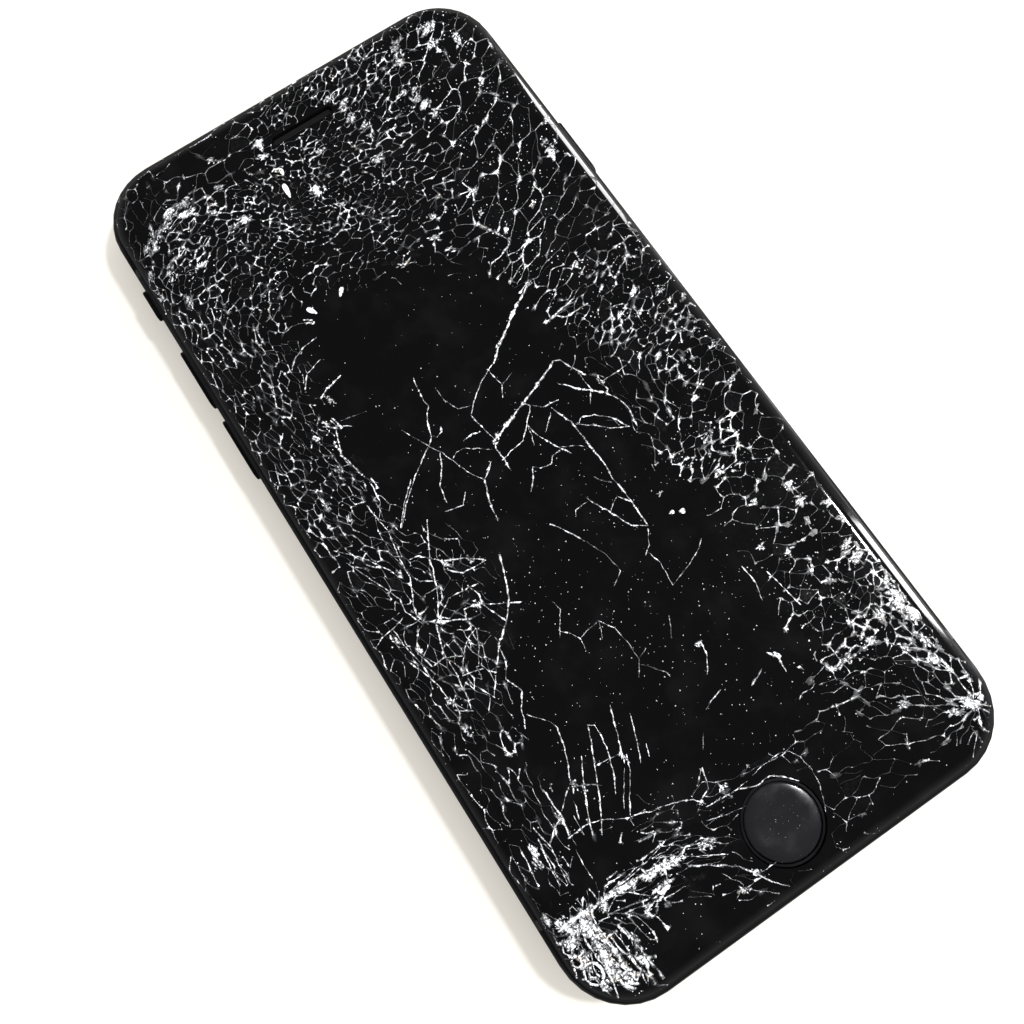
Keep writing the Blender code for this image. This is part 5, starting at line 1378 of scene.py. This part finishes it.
def make_grains(field):
    """Crushed glass along the cracks, dust over the whole face and on the home button."""

    def crushed(points):
        _, star, white, keep = field.strengths(points)
        cloud = np.array([unevenness(x, y, 2.0, GRAIN_CLOUD) for x, y in points])
        broken = np.clip((star / MM / STAR_SCALE - 0.30) * 9.0, 0.07, 1)
        return broken * white * keep * np.clip(0.25 + 1.6 * cloud, 0, 1)

    def dust(points):
        away = np.linalg.norm(points - np.array(on_glass(DUSTY_PIXEL)), axis=1) / DUSTY_REACH
        return 0.25 + 0.75 * np.exp(-away * away)

    carry(strew("crushed_grains", face_sheet(crushed), CRUSHED, broken_edges), "phone")
    carry(strew("dust", face_sheet(dust), DUST, pale_dust), "phone")
    carry(strew("button_dust", button_sheet(), BUTTON_DUST, pale_dust), "home_key")


# The rest of the phone

SEEN_SOLIDS = (
    "rear_housing", "antenna_band_top", "antenna_band_bottom", "camera_ring", "camera_window",
    "flash_lens", "home_button", "home_button_ring", "volume_up_button", "volume_down_button",
    "power_button", "ring_switch_lever", "sim_tray", "end_screw_left", "end_screw_right",
)

def resurface(node, body, slot):
    """A welded, smoothly shaded copy of a solid, which stands for it."""
    mesh = frame["nodes"][node].data.copy()
    shape = bmesh.new()
    shape.from_mesh(mesh)
    bmesh.ops.remove_doubles(shape, verts=shape.verts, dist=WELD)
    shape.to_mesh(mesh)
    shape.free()
    piece = new_piece(node + "_finished", mesh, SLOT_FINISHES[slot])
    mesh.shade_smooth()
    mesh.set_sharp_from_angle(angle=SOLID_CREASE)
    carry(piece, body)
    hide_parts(node)


def finish_phone():
    """Give every solid its finish, and the visible ones smooth shading."""
    record = frame["record"]
    slots = {part["node"]: part["material_slot"] for part in record["subparts"]}
    bodies = {node: body for body, nodes in record["behaviour"]["bodies"].items() for node in nodes}
    for node, obj in frame["nodes"].items():
        finish = SLOT_FINISHES[slots[node]]
        obj.data.materials.clear()
        obj.data.materials.append(finish.material)
    for node in SEEN_SOLIDS:
        resurface(node, bodies[node], slots[node])


# Studio

FLOOR_GLOW = (0.30, 0.283, 0.25)
FLOOR_GAP = 0.02 * MM
ROOM_LEFT = 0.9
ROOM_RIGHT = 1.5
HORIZON = 0.35
CEILING = 0.05
FLOOR_REACH = 1.2
# Lamps: place, the point that each faces, its two sides and its power
LAMPS = {
    "key_lamp": ((0.505, -0.107, 0.78), (0, 0, 0), (0.08, 0.08), 7.9),
    "window_low": ((0.50, -0.118, 0.16), (0, -0.118, 0.16), (0.09, 0.28), 1.9),
    "window_high": ((0.50, 0.285, 0.14), (0, 0.285, 0.14), (0.15, 0.24), 1.5),
}


def make_floor():
    """A plain pale floor that keeps the phone's shadow. The glass mirrors it as a dimmer one."""
    plane = bmesh.new()
    bmesh.ops.create_grid(plane, x_segments=1, y_segments=1, size=FLOOR_REACH)
    bmesh.ops.translate(plane, verts=plane.verts, vec=(0, 0, -FLOOR_GAP))
    finish = Finish("pale_floor", (0.86, 0.85, 0.83), 0.6)
    ray = finish.add("ShaderNodeLightPath").outputs
    finish.feed("Base Color", finish.blend(ray["Is Glossy Ray"], (0.5, 0.485, 0.455), (0.07, 0.07, 0.07)))
    finish.feed("Emission Color", finish.blend(ray["Is Camera Ray"], (0.0, 0.0, 0.0), FLOOR_GLOW))
    finish.feed("Emission Strength", 1.0)
    floor = new_piece("floor", mesh_of("floor", plane), finish)


def make_lamp(name, place, target, size, power):
    """A soft rectangular lamp that faces a point."""
    data = bpy.data.lights.new(name, "AREA")
    data.shape = "RECTANGLE"
    data.size, data.size_y = size
    data.energy = power
    lamp = bpy.data.objects.new(name, data)
    lamp.location = place
    lamp.rotation_euler = (Vector(target) - Vector(place)).to_track_quat("-Z", "Y").to_euler()
    bpy.context.scene.collection.objects.link(lamp)


def make_world():
    """A pale room. The black glass mirrors a dark ceiling, and the camera sees plain white."""
    world = bpy.data.worlds.new("studio")
    bpy.context.scene.world = world
    world.use_nodes = True
    tree = Tree(world.node_tree)
    sky = tree.nodes["Background"]
    ray = tree.add("ShaderNodeLightPath").outputs
    place = tree.add("ShaderNodeTexCoord").outputs["Generated"]
    parts = tree.add("ShaderNodeSeparateXYZ", None, {0: place}).outputs
    lit = tree.ease(parts["X"], -0.6, 0.9, ROOM_LEFT, ROOM_RIGHT)
    mirrored = tree.ease(parts["Z"], 0.05, 0.7, HORIZON, CEILING, "LINEAR")
    dull = tree.add("ShaderNodeMix", None, {0: ray["Is Glossy Ray"], 2: lit, 3: mirrored}).outputs[0]
    strength = tree.add("ShaderNodeMix", None, {0: ray["Is Camera Ray"], 2: dull, 3: 1.0}).outputs[0]
    tree.join(sky.inputs["Strength"], strength)
    sky.inputs["Color"].default_value = (1.0, 1.0, 1.0, 1.0)


noise.seed_set(NOISE_SEED)
make_camera()
finish_phone()
make_glass_body()
crack_field = CrackField(ZONES.values())
strewn_grains = grain_tree()
seeds = shard_seeds(crack_field)
shards, shard_groups = shard_cells(crack_field, seeds)
make_crack_webs(crack_field, shards, shard_groups)
make_shard_plates(crack_field, seeds, shards)
make_long_cracks()
make_frost(crack_field)
make_grains(crack_field)
make_floor()
make_world()
for lamp_name, settings in LAMPS.items():
    make_lamp(lamp_name, *settings)

view = bpy.context.scene.view_settings
view.view_transform = "Standard"
